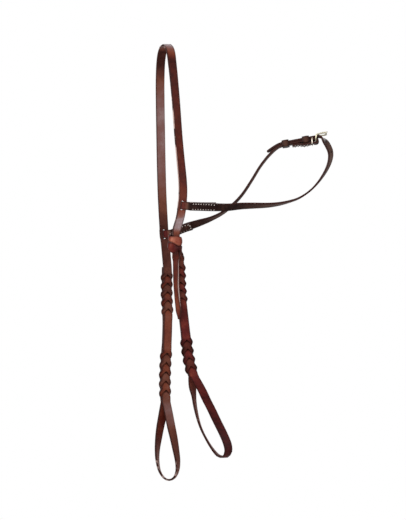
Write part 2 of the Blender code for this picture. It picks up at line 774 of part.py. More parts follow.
def buckle_tongue():
    """Tongue bent round the bar, up through the strap's hole, and on to the far rail."""
    eye = wire_radius + tongue_gap + tongue_radius
    points = []
    for step in range(eye_steps + 1):
        angle = eye_start - eye_turn * step / eye_steps
        points.append((eye * math.cos(angle), 0, -bar_depth + eye * math.sin(angle)))
    top = -bar_depth + buckle_rise + wire_radius + tongue_gap + tongue_radius
    low = -bar_depth + eye
    for along_share, rise_share in shank_shares:
        points.append((buckle_reach * along_share, 0, low + (top - low) * rise_share))
    points.append((buckle_reach + tongue_overhang, 0, top - tongue_radius / 2))
    moved = [buckle_matrix() @ Vector(point) for point in points]
    return wire("buckle_tongue", moved, tongue_radius, metal)


def keeper(name, place_along, low, high, finish):
    """Leather band round the stacked straps, from the lowest to the highest face that it holds."""
    half_high = (high - low) / 2 + keeper_gap + keeper_thickness / 2
    half_wide = throat_width / 2 + keeper_gap + keeper_thickness / 2
    outline = rounded_ring(half_wide, half_high, keeper_corner, corner_arcs)
    band = bmesh.new()
    ends = []
    for side in (-0.5, 0.5):
        along = -place_along + side * keeper_length
        ends.append([band.verts.new(in_buckle(along, x, (high + low) / 2 + y)) for x, y in outline])
    for index in range(len(outline)):
        after = (index + 1) % len(outline)
        band.faces.new((ends[0][index], ends[0][after], ends[1][after], ends[1][index]))
    bmesh.ops.recalc_face_normals(band, faces=band.faces)
    mesh = bpy.data.meshes.new(name)
    band.to_mesh(mesh)
    band.free()
    made = put(name, mesh, finish)
    thick = made.modifiers.new("thickness", "SOLIDIFY")
    thick.thickness = keeper_thickness
    thick.offset = 0
    return made


def seam(name, rings, thickness, corners):
    """One line of humped stitches on a strap's outer face, through corners of length and share across."""
    lengths = strap_lengths(rings)
    height = thickness / 2 + surface_gap + thread_radius

    def spot(length, share, hump):
        index = next((i for i in range(1, len(rings)) if lengths[i] >= length), len(rings) - 1)
        station = ring_at(rings, lengths, length)
        ahead = (rings[index]["centre"] - rings[index - 1]["centre"]).normalized()
        normal = ahead.cross(station["across"]).normalized()
        return station["centre"] + station["across"] * share * station["width"] / 2 + normal * (height + hump)

    points = []
    for (start, low), (end, high) in zip(corners, corners[1:]):
        count = max(1, round(math.hypot(end - start, (high - low) * throat_width / 2) / stitch_length))
        for step in range(2 * count):
            part = step / (2 * count)
            hump = stitch_hump * (step % 2)
            points.append(spot(start + (end - start) * part, low + (high - low) * part, hump))
    points.append(spot(*corners[-1], 0))
    return wire(name, points, thread_radius, thread, resolution=1)


def fold_seams(name, rings, tab_count, main_start, closed):
    """Stitches on the faces of the tab and of the main strap: two rows each, or one round the tab's end."""
    lengths = strap_lengths(rings)
    inset_share = 1 - stitch_inset / (throat_width / 2)
    sewn = lengths[tab_count - 1] - 2 * stitch_inset
    faces = {
        "inner": (lengths[tab_count - 1] - stitch_inset, -1),
        "outer": (lengths[main_start] + stitch_inset, 1),
    }
    made = []
    for face, (start, sense) in faces.items():
        end = start + sense * sewn
        if closed:
            corners = [(start, inset_share), (end, inset_share), (end, -inset_share), (start, -inset_share)]
            made.append(seam(f"{name}_{face}_stitches", rings, throat_thickness, corners))
        else:
            for row, share in (("upper", inset_share), ("lower", -inset_share)):
                corners = [(start, share), (end, share)]
                made.append(seam(f"{name}_{face}_{row}_stitches", rings, throat_thickness, corners))
    return made


def chape_seam(rings):
    """Stitches round the tab that is folded over the buckle's bar."""
    lengths = strap_lengths(rings)
    inset_share = 1 - stitch_inset / (throat_width / 2)
    start = lengths[-1] - chape_length + chape_settle + stitch_inset
    end = lengths[-1] - stitch_inset
    corners = [(start, inset_share), (end, inset_share), (end, -inset_share), (start, -inset_share)]
    return seam("chape_stitches", rings, throat_thickness, corners)


def pivot(name, spot, carried):
    """Empty on a joint's axis that carries the pieces which move about it."""
    axis = bpy.data.objects.new(name, None)
    axis.matrix_world = Matrix.Translation(spot)
    headstall.objects.link(axis)
    for piece in carried:
        piece.parent = axis
        piece.matrix_parent_inverse = Matrix.Translation(-spot)


def build():
    """Every piece of the headstall, and the empties on its joint axes."""
    rings, near_frame, off_frame = crown_rings()
    strap("crown_strap", rings, strap_thickness, leather_dark)
    near_cheek = strap("near_cheek_strap", near_cheek_rings(), strap_thickness, leather_red)
    off_rings, off_tab, off_main, free_count = off_throat_rings(off_frame)
    off_throat = strap("off_throat_strap", off_rings, throat_thickness, leather_dark)
    near_rings, near_tab, near_main = near_throat_rings(near_frame, off_rings, free_count)
    near_throat = strap("near_throat_strap", near_rings, throat_thickness, leather_red)
    frame = buckle_frame()
    tongue = buckle_tongue()
    top = stacked + throat_thickness / 2
    fixed = keeper("fixed_keeper", fixed_keeper_place, -throat_thickness / 2, top, leather_dark)
    sliding = keeper("sliding_keeper", sliding_keeper_place, -throat_thickness / 2, top, leather_dark)
    threads = [
        *fold_seams("near_fold", near_rings, near_tab, near_main, False),
        *fold_seams("off_fold", off_rings, off_tab, off_main, True),
        chape_seam(off_rings),
    ]
    bar = in_buckle(0, 0, -bar_depth)
    pivot("knot_slide_axis", hitch_frame()[0], [near_cheek])
    pivot("throat_swing_axis", near_frame[0], [off_throat, near_throat, fixed, *threads])
    pivot("buckle_bar_axis", bar, [frame, tongue])
    pivot("keeper_slide_axis", in_buckle(-sliding_keeper_place, 0, 0), [sliding])


for leftover in list(bpy.data.objects):
    bpy.data.objects.remove(leftover, do_unlink=True)
headstall = bpy.data.collections.new("western_headstall")
bpy.context.scene.collection.children.link(headstall)
leather_dark = material("harness_leather", (0.16, 0.055, 0.045), 0.45)
leather_red = material("oiled_leather", (0.20, 0.05, 0.03), 0.42)
metal = material("nickel", (0.62, 0.60, 0.55), 0.3, 1.0)
thread = material("waxed_thread", (0.80, 0.76, 0.68), 0.7)
build()
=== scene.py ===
"""Looks of the western headstall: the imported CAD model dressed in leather, thread and nickel."""

import json
import math

import bmesh
import bpy
from mathutils import Matrix, Vector

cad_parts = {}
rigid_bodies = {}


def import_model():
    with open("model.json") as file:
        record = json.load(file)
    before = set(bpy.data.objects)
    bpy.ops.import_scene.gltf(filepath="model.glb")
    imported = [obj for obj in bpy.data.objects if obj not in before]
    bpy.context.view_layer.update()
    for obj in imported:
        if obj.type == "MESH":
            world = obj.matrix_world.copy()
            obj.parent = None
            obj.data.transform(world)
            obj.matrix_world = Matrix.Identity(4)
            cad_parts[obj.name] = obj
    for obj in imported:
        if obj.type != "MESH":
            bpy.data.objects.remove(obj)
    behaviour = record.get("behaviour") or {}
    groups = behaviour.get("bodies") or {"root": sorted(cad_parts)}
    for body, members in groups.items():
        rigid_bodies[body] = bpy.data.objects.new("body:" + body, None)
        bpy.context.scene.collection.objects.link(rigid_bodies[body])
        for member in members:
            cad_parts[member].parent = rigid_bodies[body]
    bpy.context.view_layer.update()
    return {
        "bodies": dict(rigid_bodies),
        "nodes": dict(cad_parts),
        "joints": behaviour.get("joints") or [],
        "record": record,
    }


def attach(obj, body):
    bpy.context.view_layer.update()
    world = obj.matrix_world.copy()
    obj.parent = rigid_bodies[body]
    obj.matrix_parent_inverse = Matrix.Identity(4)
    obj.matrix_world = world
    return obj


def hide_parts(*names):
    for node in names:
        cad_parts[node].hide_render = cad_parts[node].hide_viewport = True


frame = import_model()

# Driving sizes of the leather
strap_width = 0.0159
strap_thickness = 0.0034
throat_width = 0.0143
throat_thickness = 0.0033
tail_width = 0.0100
point_width = 0.004
layer_gap = 0.0005

# Overall hang of the headstall
hang_height = 0.7595
leg_spread = 0.070
level_turn = 25

# Bloodknots: two layers that pass through slits in each other
knot_pitch = 0.0152
pinched_width = 0.0080
slit_side_gap = 0.0006
end_overrun = 0.0100
steep_layer_share = 1.10
slit_shares = (0.02, 0.34)

# Hitch of the near cheek round the crown strap
hitch_band = 0.0125
hitch_pitch = 0.0138
hitch_gap = 0.0008
cheek_setback = 0.0130
elbow_radius = 0.0110
elbow_slack = 0.0009
corner_steps = 10
elbow_rings = 12
join_rings = 9

# Slits and folds that carry the throatlatch
slit_length = 0.0280
slit_band = 0.0062
fold_play = 0.0012
fold_corner = 0.0024
fold_depth = 0.0150
near_tab_length = 0.0680
off_tab_length = 0.0530
settle_length = 0.0600
fold_steps = 7
fold_leg_shares = (1, 0.55)
leaving_shares = (0.7, 1)
slit_room_share = 0.58
long_slit_shares = [
    (step / 40, min(1, max(0, (0.290 - abs(step / 40)) / 0.04)) ** 0.5) for step in range(-16, 17)
]
hole_shares = [(step / 16, math.sqrt(max(0, 1 - (step / 8) ** 2))) for step in range(-8, 9)]

# Tail of the crown strap
tail_taper_share = 0.13
point_share = 0.14

# Buckle, in its own frame: along the strap, across it and out of it
wire_radius = 0.0013
buckle_corner = 0.0024
buckle_reach = 0.0200
buckle_rise = 0.0100
buckle_side_gap = 0.0005
bar_play = 0.0007
tongue_radius = 0.0011
tongue_gap = 0.0004
tongue_overhang = 0.0030
tongue_slot_half = 0.0019
slot_length = 0.0030
slot_start_share = 0.7
bar_steps = 14
eye_start = math.radians(-20)
eye_turn = math.radians(250)
eye_steps = 24
shank_shares = (
    (0.10, 0.06), (0.17, 0.24), (0.215, 0.44), (0.25, 0.62), (0.32, 0.80), (0.46, 0.94),
    (0.72, 1.0), (1.0, 1.0),
)
chape_length = 0.0410
chape_settle = 0.0090
chape_near_share = 0.25
hole_spacing = 0.0190
holes_each_side = 2
billet_overlap = 0.0150
billet_lift = 0.0014
point_length = 0.0070
point_steps = 8
dive_shares = ((0.62, 0.05), (0.44, 0.92))
billet_start_share = 0.40
tongue_through_share = 0.23

# Holes of the billet, the one in use and the spare ones: half their width, and their length
strap_hole = (0.0019, 0.0085)
spare_hole = (0.0008, 0.0042)

# Keepers
keeper_length = 0.0125
keeper_thickness = 0.0020
keeper_corner = 0.0018
keeper_gap = 0.0006
fixed_keeper_place = 0.0168
keeper_slide_room = 0.0057

# Waxed thread, laid on the faces that it sews together
thread_radius = 0.0005
stitch_length = 0.0044
stitch_inset = 0.0024
surface_gap = 0.0003

# Spacing of the rings that make up the straps
ring_step = 0.0050
rings_each_pitch = 20

# Half the distance between the middles of two doubled layers, in a bloodknot and flat together
layer_lift = (strap_thickness * steep_layer_share + layer_gap) / (2 * math.sin(math.pi / 4))
flat_lift = (strap_thickness + layer_gap) / 2

# Distances between the throatlatch's layers: stacked, round the bar, and with the fixed keeper between
stacked = throat_thickness + layer_gap
bar_depth = wire_radius + bar_play + throat_thickness / 2
chape_drop = throat_thickness + 2 * keeper_gap + keeper_thickness

# The sliding keeper's middle, with room to slide before it meets the end of the chape
sliding_keeper_place = chape_length + keeper_length / 2 + keeper_slide_room

# The reference photograph's frame: the pixel of the origin, and the pixels from there to the lowest loop
origin_pixel_x = 168.0
origin_pixel_y = 46.0
hang_pixels = 434.0
pixel = hang_height / hang_pixels

# Routes: pixel across, pixel down, depth as a share of the leg spread, turn of the width in degrees
off_axis_pixels = (
    (166.3, 254, 0.50, 25), (166.8, 266, 0.50, 25), (166.8, 280, 0.50, 25), (166.8, 296, 0.50, 25),
    (167.4, 312, 0.50, 25), (167.2, 330, 0.50, 25), (166.5, 348, 0.50, 25), (165.5, 364, 0.50, 25),
    (165.0, 380, 0.50, 25), (165.2, 394, 0.50, 26), (165.6, 402, 0.50, 27),
)
off_leg_pixels = (
    (165.4, 245, 0.50, 25), (164.3, 236, 0.50, 25), (163.6, 224, 0.50, 25), (162.7, 208, 0.50, 25),
    (161.9, 190, 0.50, 25), (161.2, 164, 0.50, 25), (160.7, 136, 0.48, 25), (160.2, 104, 0.42, 25),
    (160.1, 80, 0.365, 25), (160.8, 62, 0.30, 25), (162.4, 51.5, 0.205, 25), (164.5, 46.6, 0.11, 25),
)
near_leg_pixels = (
    (166.8, 45.0, 0.0, 25), (169.2, 47.6, -0.11, 25), (170.9, 53.0, -0.205, 25), (172.1, 62, -0.30, 28),
    (174.0, 80, -0.365, 33), (176.1, 104, -0.42, 36), (178.4, 136, -0.48, 36), (180.6, 160, -0.50, 34),
    (182.5, 180, -0.50, 28), (182.9, 193, -0.50, 25), (182.1, 205, -0.50, 25), (180.3, 217, -0.50, 25),
)
near_depth_share = -0.50
hitch_pixel_x = 175.7
hitch_top_pixel = 235.0
straight_top_pixel = 230.5
straight_end_pixel = 253.5
tail_pixels = (
    (175.8, 263, -0.50, -16), (175.9, 274, -0.50, -24), (176.2, 286, -0.50, -38), (177.2, 298, -0.50, -36),
    (178.4, 309, -0.50, -26), (179.1, 319.3, -0.50, -14),
)
near_axis_pixels = (
    (178.4, 256, 16), (179.3, 266, 13), (179.8, 277, 12), (180.3, 289, 12), (181.4, 300, 12),
    (183.0, 312, 12), (184.5, 325, 12), (186.2, 340, 12), (187.9, 354, 12), (190.3, 366, 13),
    (193.2, 375.5, 15),
)
off_loop_pixels = (
    (162.2, 417, 0.53, 31), (160.1, 428, 0.54, 40), (158.6, 438, 0.54, 51), (157.3, 450, 0.53, 66),
    (157.5, 461, 0.52, 76), (159.7, 471.2, 0.51, 84), (164.2, 478.0, 0.50, 88), (169.2, 480.0, 0.50, 89),
    (174.3, 477.6, 0.50, 84), (177.4, 470.6, 0.49, 76), (177.6, 461, 0.48, 64), (175.9, 450, 0.47, 52),
    (173.7, 438, 0.46, 40), (171.5, 428, 0.46, 31), (169.3, 417, 0.47, 28),
)
near_loop_pixels = (
    (192.6, 387, -0.275, 44), (193.8, 396, -0.26, 68), (195.1, 406, -0.265, 76), (197.7, 418, -0.28, 82),
    (201.3, 429, -0.29, 86), (206.5, 439.5, -0.30, 86), (212.3, 448.8, -0.31, 82), (218.4, 455.6, -0.32, 73),
    (225.0, 456.8, -0.33, 58), (228.3, 451.4, -0.34, 42), (227.1, 443, -0.34, 28), (222.4, 432, -0.35, 18),
    (216.9, 421, -0.355, 10), (211.7, 410, -0.36, 6), (206.6, 400, -0.36, 6), (201.1, 388.5, -0.355, 11),
)

# The throatlatch: the third number is the depth share, and the last the roll of the width towards +Y
near_throat_pixels = (
    (204, 206.6, -0.245, -12), (216, 206.8, -0.165, -26), (228, 206.6, -0.115, -38), (240, 205.6, -0.09, -46),
    (252, 205.5, -0.075, -54), (264, 205.4, -0.065, -62), (276, 204.4, -0.055, -72),
    (288, 201.9, -0.045, -82), (300, 197.6, -0.035, -88), (312, 189.0, -0.025, -90),
    (321.4, 178.0, -0.015, -84), (328.2, 166.0, -0.01, -74),
    (330.7, 155.6, 0.0, -62), (329.1, 147.6, 0.0, -54), (326.3, 142.7, 0.0, -54), (323.6, 139.9, 0.0, -66),
)
off_throat_pixels = (
    (178, 230.8, 0.60, 176), (186, 227.5, 0.60, 164), (198, 224.0, 0.55, 138), (210, 219.9, 0.46, 116),
    (222, 213.4, 0.36, 106), (234, 203.6, 0.26, 101), (243, 193.6, 0.19, 99), (252, 180.0, 0.12, 98),
    (260, 166.9, 0.06, 98), (267.6, 157.0, 0.02, 99), (273.2, 151.0, 0.0, 101),
)
buckle_pixel_x = 315.5
buckle_pixel_y = 139.2
straight_pixel_x = 279.0
straight_pixel_y = 146.2
throat_tilt = math.radians(12)

near_slit_pixel = 205.4
off_slit_pixel = 234.2

# Bloodknots: pixel down of the first slit's middle, crossings, pitch as a share of the knot pitch
off_knots_pixels = ((277.0, 5, 0.98), (355.6, 5, 1.07))
near_knots_pixels = ((268.4, 5, 0.90), (342.6, 4, 1.02))

# How the leather lies where its solid is plainer: lobes of the braids, the hitch's turns, play in the slits
lobe_swell = 0.0031
lobe_lean = 0.0024
hitch_cup = 0.0015
hitch_spread = 0.0038
hitch_squeeze = 0.0014
hitch_shift = 0.0009
hitch_shoulder = 0.0032
hitch_bulge = 0.0012
front_stops = 6
hitch_tuck = 0.0034
hitch_droop = 0.0050
hitch_tilt = 0.0034
slit_play_share = 0.95
slit_thinning = 0.0006
ease_passes = 3
tail_ease = 8
fine_step = 0.0024
grip_pixel = 227.0
grip_pixels = 8.0
grip_shift = 0.5

# Laps of the hitch at which a change begins, its run, the lap at which it fades, and the run of that
over_span = (0.40, 0.28, 0.68, 0.14)
shoulder_span = (0.16, 0.16, 0.40, 0.20)
droop_span = (1.34, 0.16, 1.50, 0.22)
bulge_span = (1.15, 0.15, 1.40, 0.15)
tuck_start = 1.45
tuck_run = 0.27

# Grid of a strap: columns, rounding as a share of the thickness, lean of a lobe, and painted shade in the
# braids
strap_columns = 8
strap_round_share = 0.17
sharp_angle = math.radians(55)
lean_middle = 0.5
lean_fall = 1.2
shade_middle = 0.06
shade_rim = 0.34
under_shade = 0.5

# Visible thread: thickness at the tips, how soon it is full, how it sinks, rises and slants
stitch_pitch = 0.0051
thread_share = 0.37
thread_swell = 1.7
oiled_thread = 0.85
stitch_sides = 8
stitch_cuts = 9
tip_share = 0.35
swell_rate = 1.8
stitch_sink = 0.0003
stitch_rise = 0.00085
rise_rate = 1.25
stitch_slant = 0.09
end_slant_length = 0.006
seam_share = 1 - stitch_inset / (throat_width / 2)

# Wear and painted light along the straps: place (pixel down or across, or share of the way round), tone (dye
# and wear, with painted shade where it is low and painted sheen where it is high), paleness of the cut edge
# (a painted highlight where the edge catches the light)
off_cheek_wear_and_painted_light = ((254, 0.30, 0.1), (285, 0.36, 0), (312, 0.56, 0), (332, 0.44, 0.1), (402, 0.58, 0))
off_loop_wear_and_painted_light = (
    (0, 0.28, 0.1), (0.22, 0.28, 0.2), (0.42, 0.55, 0.35), (0.55, 0.60, 0.35), (0.68, 0.36, 0.2),
    (0.84, 0.42, 0.2), (0.94, 0.72, 0.2), (1, 0.72, 0),
)
# Off leg: the pale crown top and pale middle are painted sheen, the dark stretches below the top and at the
# foot painted shade
off_leg_wear_and_painted_light = (
    (46, 0.80, 0.3), (51, 0.04, 0.1), (64, 0.04, 0.1), (84, 0.55, 0.1), (110, 0.80, 0.1), (150, 0.76, 0.1),
    (190, 0.60, 0.1), (210, 0.42, 0.1), (226, 0.16, 0.1), (250, 0.22, 0.1),
)
# Near leg: the pale stretch from 219 to 229 down is a painted sheen
near_leg_wear_and_painted_light = (
    (46, 0.95, 0.4), (53, 0.50, 0.2), (62, 0.08, 0.1), (104, 0.22, 0.4), (112, 0.22, 1), (127, 0.22, 0.9),
    (131, 0.22, 0.4), (144, 0.24, 0.4), (150, 0.24, 1), (185, 0.24, 0.9), (208, 0.38, 0.6),
    (219, 0.92, 0.4), (229, 0.90, 0.3), (236, 0.50, 0.2),
)
tail_wear_and_painted_light = (
    (231, 0.60, 0.3), (237, 0.40, 0.3), (248, 0.16, 1), (276, 0.24, 1), (292, 0.32, 0.9), (300, 0.42, 0.4),
    (307, 0.44, 0.1), (312, 0.36, 0.1), (319, 0.16, 0.1),
)
# Hitch: the highest tones are painted highlights on the rolls of its turns, the lowest painted shade
hitch_wear_and_painted_light = (
    (0, 0.10, 0.2), (0.16, 0.20, 0.3), (0.21, 0.74, 0.5), (0.26, 0.62, 0.3), (0.33, 0.46, 0.2),
    (0.38, 0.20, 0.2), (0.48, 0.06, 0.2), (0.63, 0.06, 0.6), (0.68, 0.34, 0.9), (0.73, 0.18, 0.7),
    (0.79, 0.05, 0.3), (0.87, 0.12, 0.1), (1, 0.30, 0.1),
)
near_cheek_wear_and_painted_light = (
    (250, 0.24, 0.1), (257, 0.36, 0.2), (268, 0.44, 0.1),
    (298, 0.42, 0), (312, 0.26, 0), (354, 0.26, 0), (366, 0.36, 0), (378, 0.32, 0.1),
)
near_loop_wear_and_painted_light = (
    (0, 0.30, 0.1), (0.2, 0.40, 0.1), (0.42, 0.36, 0.1), (0.5, 0.20, 0.1), (0.6, 0.06, 0.1),
    (0.85, 0.09, 0.1), (0.93, 0.16, 0.1), (1, 0.26, 0.1),
)
# Near throat strap: the very dark stretch past the fold is painted shade on a face that looks down
near_throat_wear_and_painted_light = (
    (178, 0.9, 0.5), (183.5, 0.9, 0.6), (186, 0.72, 0.6), (189, 0.05, 0.4), (196, 0.02, 0.2), (216, 0, 0.1),
    (240, 0.08, 0.2), (264, 0.26, 0.2), (300, 0.34, 0), (316, 0.36, 0), (323, 0.16, 0), (330, 0.42, 0),
)
off_throat_wear_and_painted_light = (
    (163, 1, 0.3), (167, 1, 0.4), (170, 0.10, 0.9), (173, 0.04, 0.5), (186, 0.14, 0.2), (200, 0.08, 0),
    (222, 0.40, 0.1), (234, 0.04, 0), (252, 0.44, 0), (275, 0.36, 0), (300, 0.20, 0.1),
)
# Keepers: dark tone, a painted highlight on their near side and the share of that side where it starts, and a
# faint painted highlight on the cut edge
keeper_tone = 0.07
keeper_painted_highlight = 0.20
keeper_pale = 0.1
painted_highlight_start = 0.7
keeper_skin_thickness = 0.0015
keeper_crown = 0.0006
keeper_round = 0.0004
keeper_step = 0.0012
keeper_cuts = 10
keeper_corner_steps = 8

# Buckle: staples by the heel bar, height and thickness of the rails and the tongue, lie of the straps
staple_place = 0.0058
rail_rise_share = 0.24
billet_reach = 0.0022
chape_rise = 0.0050
chape_reach = 0.0012
chape_dip_share = 0.70
staple_radius = 0.0009
staple_slope = 0.19
staple_top = 0.0019
staple_foot = 0.0084
staple_bend = ((-0.0022, -0.0008), (-0.0004, -0.0004), (0.0007, 0), (0.0011, -0.0012))
frame_step = 0.0015
buckle_corner_steps = 10
rail_share = 0.95
stout_share = 0.18
stout_start = 0.7
tongue_step = 0.001
root_share = 1.02
taper_share = 0.35
taper_start = 0.75

# Leather: scales of the noises over metres, and bands of the distance from an edge
cloud_scale = 38
flesh_cloud_scale = 45
streak_scale = 160
pore_scale = 1500
fine_scale = 3800
fibre_scales = (260, 1500, 1)
layer_scale = 900
wear_scale = 70
grain_burnish = (0.0002, 0.0022)
flesh_burnish = (0.0002, 0.0020)
crease_start = (0.0014, 0.0018)
crease_end = (0.0019, 0.0023)
grain_roughness = (0.34, 0.48)
flesh_roughness = (0.52, 0.72)
edge_roughness = (0.4, 0.6)

# Screen colours of each leather along its tone, the low stops dark for painted shade and the high ones for
# painted sheen and highlights: its grain, and its flesh side
leather_tints = {
    "harness": (
        ((46, 20, 16), (87, 37, 28), (118, 62, 45), (128, 82, 72), (156, 136, 138)),
        ((52, 27, 23), (84, 49, 42), (112, 68, 55), (124, 90, 86), (156, 136, 134)),
    ),
    "oiled": (
        ((48, 15, 15), (88, 33, 30), (124, 58, 45), (168, 102, 82), (206, 150, 136)),
        ((40, 19, 16), (84, 42, 36), (116, 66, 54), (126, 86, 78), (156, 130, 126)),
    ),
    "throatlatch": (
        ((34, 17, 14), (68, 44, 36), (98, 70, 58), (102, 58, 46), (78, 27, 25)),
        ((34, 18, 15), (70, 48, 42), (100, 78, 70), (104, 58, 50), (104, 38, 34)),
    ),
}

# Nickel and thread
scratch_scales = (900, 300, 2400)
tarnish_scale = 260
nickel_roughness = (0.22, 0.46)
ply_turns = 5200
soil_scale = 420
thread_clean = (231, 222, 217)
thread_soiled = (190, 176, 165)
thread_oiled = (62, 40, 34)
# Dark colour in the grooves between the plies: painted shade
ply_groove_shade = (0.26, 0.19, 0.12, 1)
thread_roughness = (0.48, 0.7)

# Camera, floor and world
photo_width = 406
photo_height = 520
camera_distance = 3
floor_reach = 4
floor_level = -0.80
world_colour = (0.93, 0.95, 1, 1)
world_strength = 0.34

# Lamps: name, place, aim, size, power and colour
lamps = (
    ("key", (-0.9, -1.6, 0.5), (0.05, 0, -0.35), (1.0, 1.2), 30, (1, 0.98, 0.95)),
    ("fill", (1.5, -1.2, -0.1), (0.05, 0, -0.35), (0.9, 1.4), 7, (0.95, 0.97, 1)),
    ("rim", (0.6, 1.5, 0.6), (0.05, 0, -0.3), (1.0, 1.0), 12, (1, 1, 1)),
)


def place(pixel_x, pixel_y, depth_share):
    """World point for a pixel of the reference frame and a share of the leg spread."""
    return Vector((
        (pixel_x - origin_pixel_x) * pixel,
        depth_share * leg_spread,
        (origin_pixel_y - pixel_y) * pixel,
    ))


def flat_across(degrees):
    """Level width direction, turned from +X towards +Y."""
    turn = math.radians(degrees)
    return Vector((math.cos(turn), math.sin(turn), 0))


def rolled_across(ahead, degrees):
    """Width direction square to the route: 0 lies in the picture's plane, 90 points at +Y."""
    roll = math.radians(degrees)
    beside = Vector((-ahead.z, 0, ahead.x)).normalized()
    across = beside * math.cos(roll) + Vector((0, 1, 0)) * math.sin(roll)
    return (across - ahead * across.dot(ahead)).normalized()


def smooth_step(value):
    """0 below 0, 1 above 1, with a soft start and end."""
    held = min(1, max(0, value))
    return held * held * (3 - 2 * held)


def hump(at, start, rise, end, fall):
    """0 to 1 over the rise from the start, and back to 0 over the fall from the end."""
    return smooth_step((at - start) / rise) * (1 - smooth_step((at - end) / fall))


def spline(rows, fraction, index):
    """Catmull-Rom value of the rows of numbers between two of them."""
    last = len(rows) - 1
    corners = [rows[min(last, max(0, index + step))] for step in (-1, 0, 1, 2)]
    cube = fraction * fraction * fraction
    square = fraction * fraction
    weights = (
        (-cube + 2 * square - fraction) / 2,
        (3 * cube - 5 * square + 2) / 2,
        (-3 * cube + 4 * square + fraction) / 2,
        (cube - square) / 2,
    )
    return [sum(w * row[i] for w, row in zip(weights, corners)) for i in range(len(rows[0]))]


def even_steps(rows, step):
    """Rows read from a smooth curve through the given ones, about a step apart; x, y, z come first."""
    result = []
    for index in range(len(rows) - 1):
        span = (Vector(rows[index + 1][:3]) - Vector(rows[index][:3])).length
        parts = max(1, round(span / step))
        result += [spline(rows, part / parts, index) for part in range(parts)]
    return result + [list(rows[-1])]


def reached(values, value):
    """Index of the first of the rising values that reaches the given one, from the second on."""
    return next((i for i in range(1, len(values)) if values[i] >= value), len(values) - 1)


def ring(centre, across, width, **shape):
    """One station of a strap: where its middle is, which way its width lies, and how it is shaped."""
    plain = {"opening": 0, "cup": 0, "tilt": 0, "curl": 0, "shade": 0}
    return {"centre": centre, "across": across, "width": width, **plain, **shape}


def ahead_at(rings, index):
    """Direction of travel at a ring."""
    before = rings[max(0, index - 1)]["centre"]
    after = rings[min(len(rings) - 1, index + 1)]["centre"]
    return (after - before).normalized()


def leg_rings(rows, step):
    """Full-width rings along rows of x, y, z and turn."""
    return [ring(Vector(row[:3]), flat_across(row[3]), strap_width) for row in even_steps(rows, step)]


def world_rows(pixels):
    """Rows of x, y, z and turn for a route in pixels."""
    return [(*place(*row[:3]), row[3]) for row in pixels]


def axis_reader(rows, step):
    """Arc-length reader of a cheek's middle: gives point, across and normal at a length from its top."""
    dense = even_steps(rows, step)
    lengths = [0]
    for before, after in zip(dense, dense[1:]):
        lengths.append(lengths[-1] + (Vector(after[:3]) - Vector(before[:3])).length)

    def read(length):
        index = reached(lengths, length)
        part = (length - lengths[index - 1]) / (lengths[index] - lengths[index - 1])
        row = [a + (b - a) * part for a, b in zip(dense[index - 1], dense[index])]
        ahead = (Vector(dense[index][:3]) - Vector(dense[index - 1][:3])).normalized()
        across = flat_across(row[3])
        across = (across - ahead * across.dot(ahead)).normalized()
        return Vector(row[:3]), across, ahead.cross(across).normalized()

    def length_at(pixel_y):
        height = place(0, pixel_y, 0).z
        index = next(i for i in range(1, len(dense)) if dense[i][2] <= height)
        part = (dense[index - 1][2] - height) / (dense[index - 1][2] - dense[index][2])
        return lengths[index - 1] + part * (lengths[index] - lengths[index - 1])

    return read, length_at, lengths[-1]


def knot_state(length, knots):
    """Side of the main layer (1 in front, -1 behind), and the nearest slit: how far away and how open."""
    full, none = slit_shares
    front = 1
    for first, count, pitch in knots:
        along = (length - first) / pitch
        if along < -0.5:
            return front, None
        if along < count - 0.5:
            nearest = min(count - 1, max(0, round(along)))
            away = along - nearest
            return front * (-1) ** nearest, (away, min(1, max(0, (none - abs(away)) / (none - full))))
        front *= (-1) ** count
    return front, None


def knot_ring(reader, length, knots, main, sense):
    """Ring of the main or the other layer of a doubled cheek at a length along its middle."""
    middle, across, normal = reader(length)
    front, slit = knot_state(length, knots)
    layer = 1 if main else -1
    if slit is None:
        near_knot = min(abs(length - edge) for edge in knot_edges(knots))
        swell = 1 - smooth_step(near_knot / knot_pitch)
        lift = flat_lift + (layer_lift - flat_lift) * swell
        return ring(middle + normal * front * layer * lift, across * sense, strap_width)
    away, openness = slit
    centre = middle + normal * (-layer_lift * math.sin(math.pi * away) * front * layer)
    # The front bands get painted shade towards their rims, the pinched strand under them half as much
    if front * layer > 0:
        opening = (pinched_width / 2 + slit_side_gap) * openness
        lobe = strap_width / 2 + lobe_swell * math.cos(math.pi * min(0.5, abs(away)))
        return ring(
            centre, across * sense, strap_width, opening=opening, band=lobe - opening, curl=openness, shade=1,
        )
    width = strap_width + (pinched_width - strap_width) * openness
    return ring(centre, across * sense, width, shade=under_shade)


def knot_edges(knots):
    """Lengths at which the knots start and end."""
    return [first + (count * end - 0.5) * pitch for first, count, pitch in knots for end in (0, 1)]


def cheek_lengths(knots, start, end):
    """Stations down a doubled cheek: close together in a knot, wider between."""
    edges = [start, *knot_edges(knots), end]
    result = []
    for index, (low, high) in enumerate(zip(edges, edges[1:])):
        if index % 2:
            count = knots[index // 2][1] * rings_each_pitch
        else:
            count = max(2, round((high - low) / (ring_step / 2)))
        result += [low + (high - low) * part / count for part in range(count)]
    return result + [end]


def scaled_knots(length_at, knots_pixels):
    """Length of the first slit's middle, number of crossings and pitch of each knot."""
    return [(length_at(top), count, knot_pitch * share) for top, count, share in knots_pixels]


